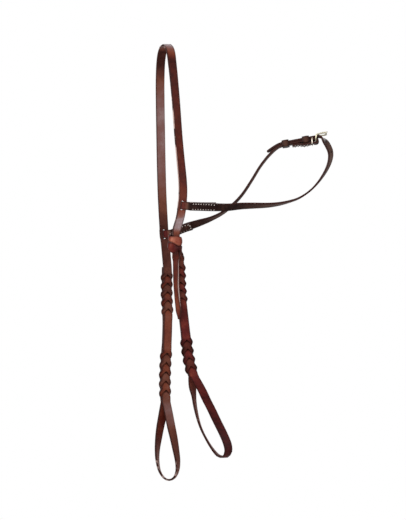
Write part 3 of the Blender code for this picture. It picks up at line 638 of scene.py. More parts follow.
def doubled_cheek(rows, knots_pixels, overrun, main_first, loop_pixels, sense):
    """A knotted cheek from its top: one layer down, the loop for the bit, and the other layer up."""
    reader, length_at, total = axis_reader(rows, ring_step / 4)
    knots = scaled_knots(length_at, knots_pixels)
    stations = cheek_lengths(knots, knot_edges(knots)[0] - overrun, total)
    down = [knot_ring(reader, length, knots, main_first, sense) for length in stations]
    up = [knot_ring(reader, length, knots, not main_first, sense) for length in reversed(stations)]
    turn = rows[-1][3]
    loop = [(*down[-1]["centre"], turn), *world_rows(loop_pixels), (*up[0]["centre"], turn)]
    round_loop = leg_rings(loop, ring_step)[1:-1]
    for station in round_loop:
        station["across"] = station["across"] * sense
    return down, round_loop, up


def strap_lengths(rings):
    """Length along the strap at each ring."""
    lengths = [0]
    for before, after in zip(rings, rings[1:]):
        lengths.append(lengths[-1] + (after["centre"] - before["centre"]).length)
    return lengths


def ring_at(rings, lengths, length):
    """Plain ring at a length along the strap."""
    index = reached(lengths, length)
    low, high = rings[index - 1], rings[index]
    part = (length - lengths[index - 1]) / (lengths[index] - lengths[index - 1])
    across = low["across"].lerp(high["across"], part).normalized()
    width = low["width"] + (high["width"] - low["width"]) * part
    return ring(low["centre"].lerp(high["centre"], part), across, width)


def with_slit(rings, middle, slit, opening, band, shape_shares):
    """Opens a slit about a length along the strap; the shares pair a place in the slit with its openness."""
    lengths = strap_lengths(rings)
    before = [r for r, length in zip(rings, lengths) if length < middle - slit * slit_room_share]
    after = [r for r, length in zip(rings, lengths) if length > middle + slit * slit_room_share]
    opened = []
    for part, openness in shape_shares:
        station = ring_at(rings, lengths, middle + part * slit)
        half = station["width"] / 2
        opened.append({**station, "opening": opening * openness, "band": half + (band - half) * openness})
    return [*before, *opened, *after]


def length_at_height(rings, height):
    """Length along a strap where it passes a height."""
    lengths = strap_lengths(rings)
    for index in range(1, len(rings)):
        low, high = rings[index - 1]["centre"].z, rings[index]["centre"].z
        if (low - height) * (high - height) <= 0 and low != high:
            return lengths[index - 1] + (lengths[index] - lengths[index - 1]) * (height - low) / (high - low)
    raise ValueError("no such height")


def finer(rings, first, last, step):
    """The same strap with more stations between two of them, and how many were added."""
    lengths = strap_lengths(rings)
    made = list(rings[:first + 1])
    for index in range(first, last):
        gap = lengths[index + 1] - lengths[index]
        parts = max(1, math.ceil(gap / step))
        for part in range(1, parts):
            made.append(ring_at(rings, lengths, lengths[index] + gap * part / parts))
        made.append(rings[index + 1])
    made += rings[last + 1:]
    return made, len(made) - len(rings)


def eased(rings, first, last, passes):
    """Kinks between two stations drawn out, as leather bends."""
    for _ in range(passes):
        moved = []
        for index in range(first, last + 1):
            before, here, after = rings[index - 1], rings[index], rings[index + 1]
            centre = (before["centre"] + 2 * here["centre"] + after["centre"]) / 4
            across = (before["across"] + 2 * here["across"] + after["across"]).normalized()
            moved.append((centre, across))
        for index, (centre, across) in enumerate(moved):
            rings[first + index] = {**rings[first + index], "centre": centre, "across": across}


def toned(rings, rows, measure):
    """Wear and painted light along a strap: rows of place, tone (0 dark, for wear and painted shade; 1 pale,
    for a painted sheen) and paleness of the cut edge (a painted highlight).
    """
    for index, station in enumerate(rings):
        spot = station["centre"]
        at = {
            "across": origin_pixel_x + spot.x / pixel,
            "down": origin_pixel_y - spot.z / pixel,
            "share": index / (len(rings) - 1),
        }[measure]
        after = reached([row[0] for row in rows], at)
        low, high = rows[after - 1], rows[after]
        part = min(1, max(0, (at - low[0]) / (high[0] - low[0])))
        station["tone"] = low[1] + (high[1] - low[1]) * part
        station["pale"] = low[2] + (high[2] - low[2]) * part


def leg_slit(rings, pixel_y):
    """Slit of a leg, wide enough for the throat strap and its play, and the frame of that slit."""
    middle = length_at_height(rings, place(0, pixel_y, 0).z)
    opening = throat_thickness / 2 + fold_play * slit_play_share
    opened = with_slit(rings, middle, slit_length, opening, slit_band - slit_thinning, long_slit_shares)
    lengths = strap_lengths(rings)
    station = ring_at(rings, lengths, middle)
    below = ring_at(rings, lengths, middle + slit_length / 2)["centre"]
    above = ring_at(rings, lengths, middle - slit_length / 2)["centre"]
    up = (above - below).normalized() * (1 if above.z > below.z else -1)
    across = (station["across"] - up * station["across"].dot(up)).normalized()
    return opened, (station["centre"], across, up)


def tail_rings(first):
    """Free tail of the crown strap below the hitch, narrowed and then pointed."""
    rows = even_steps(world_rows([first, *tail_pixels]), ring_step / 2)
    rings = []
    for row in rows:
        part = (rows[0][2] - row[2]) / (rows[0][2] - rows[-1][2])
        width = strap_width + (tail_width - strap_width) * smooth_step(part / tail_taper_share)
        width += (point_width - tail_width) * smooth_step((part - 1 + point_share) / point_share)
        rings.append(ring(Vector(row[:3]), flat_across(row[3]), width))
    return rings


def crown_rings():
    """Other layer down the off cheek, off loop, main layer up, off leg, crown, near leg and tail."""
    axis = world_rows(off_axis_pixels)
    down, round_loop, up = doubled_cheek(axis, off_knots_pixels, end_overrun, False, off_loop_pixels, 1)
    rise = leg_rings([(*up[-1]["centre"], level_turn), *world_rows(off_leg_pixels)], ring_step)
    rise, off_frame = leg_slit(rise, off_slit_pixel)
    straight = [
        (hitch_pixel_x + grip_shift, straight_top_pixel, near_depth_share, level_turn),
        (hitch_pixel_x, straight_end_pixel, near_depth_share, level_turn),
    ]
    fall = leg_rings(world_rows([*near_leg_pixels, straight[0]]), ring_step)
    fall, near_frame = leg_slit(fall, near_slit_pixel)
    held = leg_rings(world_rows(straight), ring_step)[1:-1]
    drop = [*fall, *held, *tail_rings(straight[1])]
    top, bottom = len(fall), len(fall) + len(held)
    eased(drop, top - 3, top + 1, ease_passes)
    eased(drop, bottom - 1, bottom + tail_ease, ease_passes)
    for station in drop:
        grip = smooth_step((origin_pixel_y - station["centre"].z / pixel - grip_pixel) / grip_pixels)
        station["width"] = min(station["width"], strap_width - 2 * hitch_squeeze * grip)
    # Tone along each part: wear, with painted light and shade
    for part, wear_and_light in (
        (down, off_cheek_wear_and_painted_light), (up, off_cheek_wear_and_painted_light), (rise, off_leg_wear_and_painted_light),
        (drop[:top], near_leg_wear_and_painted_light), (drop[top:], tail_wear_and_painted_light),
    ):
        toned(part, wear_and_light, "down")
    toned(round_loop, off_loop_wear_and_painted_light, "share")
    return [*down, *round_loop, *up[:-1], *rise, *drop], near_frame, off_frame


def hitch_frame():
    """Top of the hitch on the crown strap's middle, with its across and outward directions."""
    across = flat_across(level_turn)
    return place(hitch_pixel_x, hitch_top_pixel, near_depth_share), across, Vector((across.y, -across.x, 0))


def stadium(length, half_straight, radius):
    """Point and heading on a stadium round the strap: from its back right, leftwards, to the front."""
    half_lap = 2 * half_straight + math.pi * radius
    along = length % (2 * half_lap)
    sense = 1 if along < half_lap else -1
    along -= half_lap * (along >= half_lap)
    if along < 2 * half_straight:
        spot, heading = (half_straight - along, -radius), (-1, 0)
    else:
        angle = (along - 2 * half_straight) / radius
        spot = (-half_straight - radius * math.sin(angle), -radius * math.cos(angle))
        heading = (-math.cos(angle), math.sin(angle))
    return (spot[0] * sense, spot[1] * sense), (heading[0] * sense, heading[1] * sense)


def hitch_rings():
    """Two turns of the cheek strap round the crown strap, then the elbow that leads it down behind."""
    origin, side, out = hitch_frame()
    up = Vector((0, 0, 1))
    radius = strap_thickness / 2 + hitch_gap + math.hypot(strap_thickness, strap_thickness) / 2
    half_straight = (strap_width - strap_thickness) / 2 - hitch_squeeze
    half_turn = math.pi * radius
    lap = 4 * half_straight + 2 * half_turn
    turned = 2 * lap - half_turn
    slope = math.atan2(hitch_pitch, lap)
    runs = [2 * half_straight / front_stops] * front_stops + [half_turn / corner_steps] * corner_steps
    stops = [0]
    while stops[-1] < turned - surface_gap:
        for run in runs:
            stops.append(stops[-1] + run)
    rings = []
    for length in [stop for stop in stops if stop < turned + surface_gap]:
        (u, n), (du, dn) = stadium(length, half_straight, radius)
        across = (up * math.cos(slope) + (side * du + out * dn) * math.sin(slope)).normalized()
        centre = origin + side * u + out * n - up * hitch_pitch * length / lap
        wrap = length / lap
        over = hump(wrap, *over_span)
        shoulder = hump(wrap, *shoulder_span) * hitch_shoulder
        grown = over * hitch_spread + hump(wrap, *droop_span) * hitch_droop
        grown -= smooth_step((wrap - tuck_start) / tuck_run) * hitch_tuck
        bulge = hump(wrap, *bulge_span) * hitch_bulge
        centre = centre - up * (grown + shoulder) / 2 - side * (hitch_shift + bulge)
        band = hitch_band + grown - shoulder
        rings.append(ring(centre, across, band, cup=hitch_cup, tilt=over * hitch_tilt))
    low = hitch_pitch * turned / lap
    for step in range(1, elbow_rings + 1):
        part = step / elbow_rings
        bend = slope + (math.pi / 2 - slope) * part
        wide = radius + elbow_slack * part
        beyond = elbow_radius * (math.sin(bend) - math.sin(slope))
        (u, n), (du, dn) = stadium(4 * half_straight + math.pi * wide + beyond, half_straight, wide)
        fall = low + elbow_radius * (math.cos(slope) - math.cos(bend))
        across = up * math.cos(bend) + (side * du + out * dn) * math.sin(bend)
        tuck = hitch_tuck * (1 - part)
        centre = origin + side * (u - hitch_shift * (1 - part)) + out * n - up * (fall - tuck / 2)
        rings.append(ring(centre, across, hitch_band - tuck + (strap_width - hitch_band) * part))
    return rings


def near_cheek_rings():
    """Hitch, main layer down the near cheek, near loop, and the other layer up."""
    depth = place(0, 0, near_depth_share).y + cheek_setback
    axis = []
    for pixel_x, pixel_y, turn in near_axis_pixels:
        spot = place(pixel_x, pixel_y, 0)
        axis.append((spot.x, depth, spot.z, turn))
    down, round_loop, up = doubled_cheek(axis, near_knots_pixels, end_overrun / 2, True, near_loop_pixels, -1)
    hitch = hitch_rings()
    start, end = hitch[-1], down[0]
    join = []
    for step in range(1, join_rings + 1):
        part = step / (join_rings + 1)
        soft = smooth_step(part)
        centre = start["centre"].lerp(end["centre"], soft)
        centre.z = start["centre"].lerp(end["centre"], part).z
        across = start["across"].lerp(end["across"], soft).normalized()
        join.append(ring(centre, across, strap_width))
    toned(hitch, hitch_wear_and_painted_light, "share")
    for part in (join, down, up):
        toned(part, near_cheek_wear_and_painted_light, "down")
    toned(round_loop, near_loop_wear_and_painted_light, "share")
    return [*hitch, *join, *down, *round_loop, *up]


def fold_rings(frame, outer_side, route, tab_length):
    """Fold of a throat strap round half of a leg: tab end, tab, fold, then the main strap on its route."""
    centre, side, up = frame
    outward = side.cross(up) * outer_side
    reach = strap_thickness / 2 + fold_play + throat_thickness / 2
    cavity = throat_thickness / 2 + fold_play + slit_band + fold_play
    half = [(cavity * part, reach) for part in fold_leg_shares]
    for step in range(fold_steps + 1):
        angle = math.pi / 2 * step / fold_steps
        rise = reach - fold_corner + fold_corner * math.cos(angle)
        half.append((fold_corner * (1 - math.sin(angle)), rise))
    path = [(u, -n) for u, n in half] + [(u, n) for u, n in reversed(half)]
    fold = [ring(centre + side * u + outward * n, up * outer_side, throat_width) for u, n in path]
    leaving = [(*(centre + side * fold_depth * part), route[0][3]) for part in leaving_shares]
    rows = even_steps([*leaving, *route], ring_step)[1:]
    spots = [Vector(row[:3]) for row in rows]
    main, tab = [], []
    length = 0
    for index, spot in enumerate(spots):
        before = spots[max(index - 1, 0)]
        ahead = (spots[min(index + 1, len(spots) - 1)] - before).normalized()
        length += (spot - before).length
        lie = rolled_across(ahead, rows[index][3])
        normal = ahead.cross(lie)
        if length < tab_length - fold_depth:
            tab.append(ring(spot - normal * stacked / 2, lie, throat_width))
        lift = stacked / 2 * (1 - smooth_step((length - tab_length) / settle_length))
        main.append(ring(spot + normal * lift, lie, throat_width))
    return [*reversed(tab), *fold, *main], len(tab), len(tab) + len(fold)


def buckle_matrix():
    """Buckle frame: X along the strap to the far rail, Y across, Z out; the origin is over the bar."""
    bar = place(buckle_pixel_x, buckle_pixel_y, 0)
    along = (bar - place(straight_pixel_x, straight_pixel_y, 0)).normalized()
    across = Vector((0, math.cos(throat_tilt), -math.sin(throat_tilt)))
    across = (across - along * across.dot(along)).normalized()
    out = along.cross(across)
    matrix = Matrix((along, across, out)).transposed().to_4x4()
    matrix.translation = bar
    return matrix


def in_buckle(along, across, out):
    """World point of a place in the buckle frame."""
    return buckle_matrix() @ Vector((along, across, out))


def buckle_ring(along, out, sense=1, **shape):
    """Ring of a throat strap at a place along the buckle frame and out of it."""
    return ring(in_buckle(along, 0, out), buckle_matrix().col[1].to_3d() * sense, throat_width, **shape)


def straight_run():
    """Length of the straight stretch of the throatlatch that ends over the heel bar."""
    return (buckle_matrix().translation - place(straight_pixel_x, straight_pixel_y, 0)).length


def off_throat_rings(frame):
    """Fold on the off leg, the strap up to the buckle, the fold round the bar, and its tab."""
    straight_start = place(straight_pixel_x, straight_pixel_y, 0)
    route = [*world_rows(off_throat_pixels), (*straight_start, 90 + math.degrees(throat_tilt))]
    rings, tab_count, main_start = fold_rings(frame, -1, route, off_tab_length)
    rings = rings[:-1]
    free_count = len(rings)
    slot = {"opening": tongue_slot_half, "band": throat_width / 2 - tongue_slot_half}
    slot_start = bar_depth * slot_start_share
    slot_end = slot_start + slot_length
    straight = straight_run()
    count = round((straight - slot_end) / ring_step)
    for step in range(count + 1):
        rings.append(buckle_ring(-straight + (straight - slot_end) * step / count, 0))
    rings.append(buckle_ring(-slot_start, 0, **slot))
    for step in range(bar_steps + 1):
        angle = math.pi * step / bar_steps
        rings.append(buckle_ring(bar_depth * math.sin(angle), bar_depth * (math.cos(angle) - 1), **slot))
    bar_end = len(rings)
    under = -2 * bar_depth + (2 * bar_depth - chape_drop) * chape_near_share
    rings.append(buckle_ring(-slot_start, under, **slot))
    past_keeper = fixed_keeper_place + keeper_length / 2 + keeper_gap
    for back, down in (
        (slot_end, chape_drop * chape_dip_share), (chape_settle, chape_drop), (past_keeper, chape_drop),
        (past_keeper + chape_rise, stacked), (chape_length + chape_reach, stacked),
    ):
        rings.append(buckle_ring(-back, -down))
    eased(rings, free_count - 5, free_count + 2, ease_passes)
    rings, _ = finer(rings, len(rings) - 6, len(rings) - 1, fine_step)
    eased(rings, bar_end + 1, len(rings) - 2, ease_passes)
    toned(rings, off_throat_wear_and_painted_light, "across")
    return rings, tab_count, main_start, free_count


def near_throat_rings(frame, off_rings, free_count):
    """Fold on the near leg, the billet round to the buckle, over the bar and along the other strap."""
    rings, tab_count, main_start = fold_rings(frame, 1, world_rows(near_throat_pixels), near_tab_length)
    bar_ring = len(rings)
    for along, rise in dive_shares:
        rings.append(buckle_ring(buckle_reach * along, stacked * rise, -1))
    start = buckle_reach * billet_start_share
    run = straight_run() + start
    count = round(run / ring_step)
    for step in range(count + 1):
        rings.append(buckle_ring(start - run * step / count, stacked, -1))
    length = 0
    junction = len(rings)
    index = free_count - 1
    while length < billet_overlap:
        station = off_rings[index]
        normal = ahead_at(off_rings, index).cross(station["across"]).normalized()
        centre = station["centre"] + normal * (stacked + billet_lift * min(1, length / billet_overlap))
        length = length + (centre - rings[-1]["centre"]).length
        rings.append(ring(centre, -station["across"], throat_width))
        index -= 1
    eased(rings, junction - 2, len(rings) - 2, ease_passes)
    last = rings[-1]
    ahead = (last["centre"] - rings[-2]["centre"]).normalized()
    for step in range(1, point_steps + 1):
        part = step / point_steps
        width = point_width + (throat_width - point_width) * math.sqrt(1 - part * part)
        spot = last["centre"] + ahead * (point_length + billet_reach) * part
        rings.append(ring(spot, last["across"], width))
    hole = strap_lengths(rings)[bar_ring + len(dive_shares)] + start - buckle_reach * tongue_through_share
    rings, added = finer(rings, bar_ring - 3, bar_ring + 3, fine_step)
    eased(rings, bar_ring - 4, bar_ring + 2 + added, 2 * ease_passes)
    for number in range(-holes_each_side, holes_each_side + 1):
        opening, slit = spare_hole if number else strap_hole
        band = throat_width / 2 - opening
        rings = with_slit(rings, hole + hole_spacing * number, slit, opening, band, hole_shares)
    toned(rings, near_throat_wear_and_painted_light, "across")
    return rings, tab_count, main_start


def rounded_ring(half_x, half_y, corner, steps):
    """Corner arcs of a rounded rectangle, anticlockwise from its right side."""
    points = []
    for quarter in range(4):
        centre_x = (half_x - corner) * (1 if quarter in (0, 3) else -1)
        centre_y = (half_y - corner) * (1 if quarter < 2 else -1)
        for step in range(steps + 1):
            angle = math.pi / 2 * (quarter + step / steps)
            points.append((centre_x + corner * math.cos(angle), centre_y + corner * math.sin(angle)))
    return points


def refined(outline, step):
    """A closed outline with more points, about a step apart."""
    fine = []
    for index, (x, y) in enumerate(outline):
        next_x, next_y = outline[(index + 1) % len(outline)]
        parts = max(1, round(math.hypot(next_x - x, next_y - y) / step))
        for part in range(parts):
            fine.append((x + (next_x - x) * part / parts, y + (next_y - y) * part / parts))
    return fine


def linked(name, data):
    """New object in the scene."""
    made = bpy.data.objects.new(name, data)
    bpy.context.scene.collection.objects.link(made)
    return made


def fitted(made, finishes, body, node=None):
    """Gives a piece its materials and its body; it stands for a CAD node where one is named."""
    for finish in finishes:
        made.data.materials.append(finish)
    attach(made, body)
    if node:
        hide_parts(node)


def meshed(name, built):
    """New mesh object of what was built."""
    mesh = bpy.data.meshes.new(name)
    built.to_mesh(mesh)
    built.free()
    return linked(name, mesh)


def thickened(made, thickness, rounding):
    """Leather laid on both sides of a bent sheet: grain, flesh and cut edge, with the edges rounded."""
    thick = made.modifiers.new("thickness", "SOLIDIFY")
    thick.thickness = thickness
    thick.offset = 0
    thick.material_offset = 1
    thick.material_offset_rim = 2
    rounded = made.modifiers.new("rounded edges", "BEVEL")
    rounded.width = rounding
    rounded.segments = 2
    rounded.limit_method = "ANGLE"
    rounded.angle_limit = sharp_angle
    made.modifiers.new("even shading", "WEIGHTED_NORMAL").keep_sharp = True


def skin_spot(station, ahead, share, side):
    """Point of a strap at a share of its half width, how far out it is, and its edge distance and tone, with
    painted shade towards the rims of the braids' lobes.
    """
    band = station.get("band", station["width"] / 2)
    outward = share * band + side * station["opening"]
    normal = ahead.cross(station["across"]).normalized()
    raised = station["cup"] * (1 - share * share) + station["tilt"] * (1 - share) / 2
    lean = math.copysign(lobe_lean, -normal.y) * station["curl"]
    raised += lean * (lean_middle - lean_fall * abs(share))
    edge = band + station["opening"] - abs(outward)
    if station["opening"] > 0:
        edge = min(edge, abs(outward) - station["opening"])
    rim = abs(outward) / (band + station["opening"])
    # Painted shade: darker towards the lobe rims, and on the strand that passes under
    tone = station["tone"] - station["shade"] * (shade_middle + shade_rim * rim ** 3)
    point = station["centre"] + station["across"] * outward + normal * raised
    return point, outward, (max(0, edge), tone)


def strap_skin(name, node, body, rings, thickness, finishes):
    """Fine strap: a grid bent along the rings, slit, thickened and rounded, that stands for a CAD node."""
    grid = bmesh.new()
    bmesh.ops.create_grid(grid, x_segments=len(rings) - 1, y_segments=strap_columns, size=1)
    rung = grid.verts.layers.int.new("rung")
    share = grid.verts.layers.float.new("share")
    for vertex in grid.verts:
        vertex[rung] = round((vertex.co.x + 1) / 2 * (len(rings) - 1))
        vertex[share] = round(vertex.co.y * strap_columns / 2) * 2 / strap_columns
    slits = [
        edge for edge in grid.edges
        if all(vertex[share] == 0 for vertex in edge.verts)
        and any(rings[vertex[rung]]["opening"] > 0 for vertex in edge.verts)
    ]
    bmesh.ops.split_edges(grid, edges=slits)
    lengths = strap_lengths(rings)
    spots = {}
    for vertex in grid.verts:
        number = vertex[rung]
        side = sum(face.calc_center_median().y for face in vertex.link_faces)
        side = 0 if abs(side) < 1 / (100 * strap_columns) else math.copysign(1, side)
        point, outward, edge = skin_spot(rings[number], ahead_at(rings, number), vertex[share], side)
        # The edge map carries the tone with its painted light and shade, the trim map the edge paleness, a
        # painted highlight on the cut edge
        spots[vertex] = (point, (lengths[number], outward), edge, (rings[number]["pale"], 0))
    maps = [grid.loops.layers.uv.new(kind) for kind in ("along", "edge", "trim")]
    for face in grid.faces:
        face.smooth = True
        for loop in face.loops:
            for kind, value in zip(maps, spots[loop.vert][1:]):
                loop[kind].uv = value
    for vertex, spot in spots.items():
        vertex.co = spot[0]
    made = meshed(name, grid)
    thickened(made, thickness, thickness * strap_round_share)
    fitted(made, finishes, body, node)


class Nodes:
    """Short way to wire a material's nodes."""

    def __init__(self, name):
        self.material = bpy.data.materials.new(name)
        self.material.use_nodes = True
        self.tree = self.material.node_tree

    def put(self, node, inputs):
        for socket, value in inputs.items():
            if hasattr(value, "is_output"):
                self.tree.links.new(value, node.inputs[socket])
            else:
                node.inputs[socket].default_value = value

    def node(self, kind, inputs, **settings):
        made = self.tree.nodes.new("ShaderNode" + kind)
        for key, value in settings.items():
            setattr(made, key, value)
        self.put(made, inputs)
        return made

    def uv(self, name):
        return self.node("UVMap", {}, uv_map=name).outputs["UV"]

    def where(self):
        return self.node("TexCoord", {}).outputs["Object"]

    def stretched(self, vector, scale):
        return self.node("Mapping", {"Vector": vector, "Scale": scale}).outputs[0]

    def noise(self, vector, scale, detail, roughness, distortion=0):
        inputs = {"Vector": vector, "Scale": scale, "Detail": detail, "Roughness": roughness}
        return self.node("TexNoise", {**inputs, "Distortion": distortion}).outputs["Fac"]

    def voronoi(self, vector, scale):
        return self.node("TexVoronoi", {"Vector": vector, "Scale": scale}).outputs["Distance"]

    def math(self, operation, a, b=0, clamp=False):
        return self.node("Math", {0: a, 1: b}, operation=operation, use_clamp=clamp).outputs[0]

    def span(self, value, low, high, to_low=0, to_high=1):
        inputs = {"Value": value, "From Min": low, "From Max": high, "To Min": to_low, "To Max": to_high}
        return self.node("MapRange", inputs, interpolation_type="SMOOTHSTEP").outputs["Result"]

    def ramp(self, value, colours):
        made = self.node("ValToRGB", {0: value})
        stops = made.color_ramp.elements
        for number in range(1, len(colours) - 1):
            stops.new(number / (len(colours) - 1))
        for stop, colour in zip(stops, colours):
            stop.color = colour
        return made.outputs["Color"]

    def mix(self, share, a, b):
        return self.node("Mix", {"Factor": share, "A": a, "B": b}, data_type="RGBA").outputs["Result"]

    def bump(self, height, strength, distance, under=None):
        inputs = {"Height": height, "Strength": strength, "Distance": distance}
        if under is not None:
            inputs["Normal"] = under
        return self.node("Bump", inputs).outputs["Normal"]

    def split(self, vector):
        return self.node("SeparateXYZ", {0: vector}).outputs

    def finish(self, colour, roughness, normal, inputs):
        looks = {"Base Color": colour, "Roughness": roughness, "Normal": normal, **inputs}
        self.put(self.tree.nodes["Principled BSDF"], looks)
        return self.material


def tint(red, green, blue):
    """Colour named by its screen values, as the shader needs it."""
    return tuple((part / 255) ** 2.2 for part in (red, green, blue)) + (1,)


def dye_and_painted_light(m, shades, clouds, streaks):
    """Colour by the tone along the strap, which holds wear together with painted light and shade, clouded and
    streaked.
    """
    tone = m.split(m.uv("edge"))[1]
    tone = m.math("ADD", tone, m.span(clouds, 0.25, 0.75, -0.10, 0.10))
    tone = m.math("ADD", tone, m.span(streaks, 0.3, 0.8, -0.05, 0.08), clamp=True)
    return m.ramp(tone, shades)


def grain_leather(name, shades):
    """Smooth-grain harness leather: clouded dye whose tone carries the painted light and shade along the
    strap, fine pores, a creased line and burnish by the edges.
    """
    m = Nodes(name)
    along = m.uv("along")
    edge = m.split(m.uv("edge"))[0]
    clouds = m.noise(along, cloud_scale, 4, 0.6)
    streaks = m.noise(along, streak_scale, 5, 0.65, 0.4)
    pores = m.voronoi(along, pore_scale)
    fine = m.noise(along, fine_scale, 2, 0.5)
    burnish = m.math("MULTIPLY", m.span(edge, *grain_burnish, 1, 0), 0.8)
    colour = m.mix(burnish, dye_and_painted_light(m, shades, clouds, streaks), shades[0])
    crease = m.math("SUBTRACT", m.span(edge, *crease_start), m.span(edge, *crease_end))
    colour = m.mix(m.math("MULTIPLY", crease, 0.35), colour, shades[0])
    rough = m.span(clouds, 0.3, 0.7, *grain_roughness)
    rough = m.math("ADD", rough, m.span(fine, 0.3, 0.8, 0, 0.06))
    height = m.math("ADD", m.math("MULTIPLY", pores, 0.5), m.math("MULTIPLY", fine, 0.4))
    normal = m.bump(height, 0.22, 0.00025)
    normal = m.bump(m.math("MULTIPLY", crease, -1), 0.9, 0.0003, normal)
    normal = m.bump(streaks, 0.18, 0.0005, normal)
    coat = {"Specular IOR Level": 0.09, "Coat Weight": 0.03, "Coat Roughness": 0.28}
    return m.finish(colour, rough, normal, coat)


def flesh_leather(name, shades):
    """Flesh side: matter, paler, with short fibres lying along the strap."""
    m = Nodes(name)
    along = m.uv("along")
    fibres = m.noise(m.stretched(along, fibre_scales), 1, 4, 0.7, 0.6)
    clouds = m.noise(along, flesh_cloud_scale, 4, 0.6)
    burnish = m.math("MULTIPLY", m.span(m.split(m.uv("edge"))[0], *flesh_burnish, 1, 0), 0.6)
    # Its tone along the strap carries painted light and shade, as on the grain
    colour = m.mix(burnish, dye_and_painted_light(m, shades, clouds, fibres), shades[0])
    rough = m.span(fibres, 0.3, 0.8, *flesh_roughness)
    normal = m.bump(clouds, 0.15, 0.0006, m.bump(fibres, 0.35, 0.0003))
    return m.finish(colour, rough, normal, {"Specular IOR Level": 0.06})


def edge_leather(name, dark, brown, pale):
    """Cut edge: burnished brown, and pale where the strap's edge paleness paints a highlight, broken up by
    noise.
    """
    m = Nodes(name)
    layers = m.noise(m.where(), layer_scale, 4, 0.6, 0.3)
    worn = m.noise(m.where(), wear_scale, 3, 0.6)
    # Painted highlight on cut edges that catch the light, from the edge paleness, broken up by noise
    edge_highlight_and_wear = m.math("ADD", m.split(m.uv("trim"))[0], m.span(worn, 0.3, 0.7, -0.35, 0.35))
    colour = m.mix(m.span(layers, 0.35, 0.7), dark, brown)
    colour = m.mix(m.span(edge_highlight_and_wear, 0.35, 0.75), colour, pale)
    rough = m.span(layers, 0.3, 0.75, *edge_roughness)
    return m.finish(colour, rough, m.bump(layers, 0.3, 0.0003), {"Specular IOR Level": 0.10})


def nickel_plate(name, clean, tarnished):
    """Dull nickel over cast iron: warm grey, brushed scratches, tarnish in random patches."""
    m = Nodes(name)
    scratches = m.noise(m.stretched(m.where(), scratch_scales), 1, 3, 0.6)
    tarnish = m.noise(m.where(), tarnish_scale, 4, 0.6)
    colour = m.mix(m.span(tarnish, 0.45, 0.72), clean, tarnished)
    rough = m.span(tarnish, 0.3, 0.75, *nickel_roughness)
    normal = m.bump(tarnish, 0.12, 0.0002, m.bump(scratches, 0.16, 0.0001))
    return m.finish(colour, rough, normal, {"Metallic": 1})


def waxed_thread(name):
    """Cream waxed thread, twisted from plies with painted shade in the grooves between them, and darkened
    where the leather's oil has reached it.
    """
    m = Nodes(name)
    along, around = m.split(m.uv("along"))[:2]
    turns = m.math("ADD", m.math("MULTIPLY", along, ply_turns), m.math("MULTIPLY", around, math.tau))
    plies = m.math("SINE", turns)
    soil = m.noise(m.where(), soil_scale, 3, 0.6)
    colour = m.mix(m.span(soil, 0.42, 0.72), tint(*thread_clean), tint(*thread_soiled))
    colour = m.mix(m.split(m.uv("trim"))[0], colour, tint(*thread_oiled))
    # Painted shade in the grooves between the plies
    colour = m.mix(m.span(plies, -1, -0.2, 0.55, 0), colour, ply_groove_shade)
    rough = m.span(soil, 0.3, 0.8, *thread_roughness)
    return m.finish(colour, rough, m.bump(plies, 0.5, 0.00012), {"Sheen Weight": 0.2})


def surface_spot(rings, lengths, length, share, height):
    """Point on a throat strap's outer face, and its directions along, across and out."""
    index = reached(lengths, length)
    station = ring_at(rings, lengths, length)
    ahead = (rings[index]["centre"] - rings[index - 1]["centre"]).normalized()
    across = station["across"]
    out = ahead.cross(across).normalized()
    point = station["centre"] + across * share * station["width"] / 2 + out * (throat_thickness / 2 + height)
    return point, ahead, across, out


def tube(made, rows, write):
    """Smooth faces between closed rows of vertices; each corner gets its maps written."""
    for step, (one, two) in enumerate(zip(rows, rows[1:])):
        for side in range(len(one)):
            after = (side + 1) % len(one)
            face = made.faces.new((one[side], one[after], two[after], two[side]))
            face.smooth = True
            for loop, (up, around) in zip(face.loops, ((0, 0), (0, 1), (1, 1), (1, 0))):
                write(loop, step + up, side, around)


def stitch_circles(made, rings, lengths, ends, low_part, high_part):
    """Circles of one stitch that humps over the leather and dips into it at both ends."""
    (start, low), (end, high) = ends
    circles = []
    for cut in range(stitch_cuts):
        gone = cut / (stitch_cuts - 1)
        part = low_part + (high_part - low_part) * gone
        arch = math.sin(math.pi * gone)
        swell = (tip_share + (1 - tip_share) * min(1, arch * swell_rate)) * thread_radius * thread_swell
        slant = stitch_slant * (gone - 0.5)
        length = start + (end - start) * part
        share = low + (high - low) * part
        if start != end:
            share += slant
        else:
            length += slant * end_slant_length
        height = stitch_rise * min(1, arch * rise_rate) - stitch_sink
        point, ahead, across, out = surface_spot(rings, lengths, length, share, height)
        beside = across if start != end else ahead
        circle = []
        for side in range(stitch_sides):
            angle = math.tau * side / stitch_sides
            away = beside * math.cos(angle) * swell + out * math.sin(angle) * swell
            circle.append(made.verts.new(point + away))
        circles.append(circle)
    return circles


def stitches(name, rings, corners, soils, finish):
    """A line of separate stitches from corner to corner, each side of it darkened by its own oil."""
    lengths = strap_lengths(rings)
    made = bmesh.new()
    plies, oil = [made.loops.layers.uv.new(kind) for kind in ("along", "trim")]
    for (start, low), (end, high), soil in zip(corners, corners[1:], soils):
        def write(loop, step, side, around):
            loop[plies].uv = (step * stitch_length / stitch_cuts, (side + around) / stitch_sides)
            loop[oil].uv = (soil, 0)

        count = max(1, round(math.hypot(end - start, (high - low) * throat_width / 2) / stitch_pitch))
        for number in range(count):
            first = (number + (1 - thread_share) / 2) / count
            ends = ((start, low), (end, high))
            circles = stitch_circles(made, rings, lengths, ends, first, first + thread_share / count)
            tube(made, circles, write)
            made.faces.new(circles[0][::-1])
            made.faces.new(circles[-1])
    bmesh.ops.recalc_face_normals(made, faces=made.faces)
    fitted(meshed(f"{name}_thread", made), [finish], "throatlatch", f"{name}_stitches")


def sewn_round(start, end):
    """Corners of a seam along both edges of a throat strap and across the end of it."""
    return [(start, seam_share), (end, seam_share), (end, -seam_share), (start, -seam_share)]


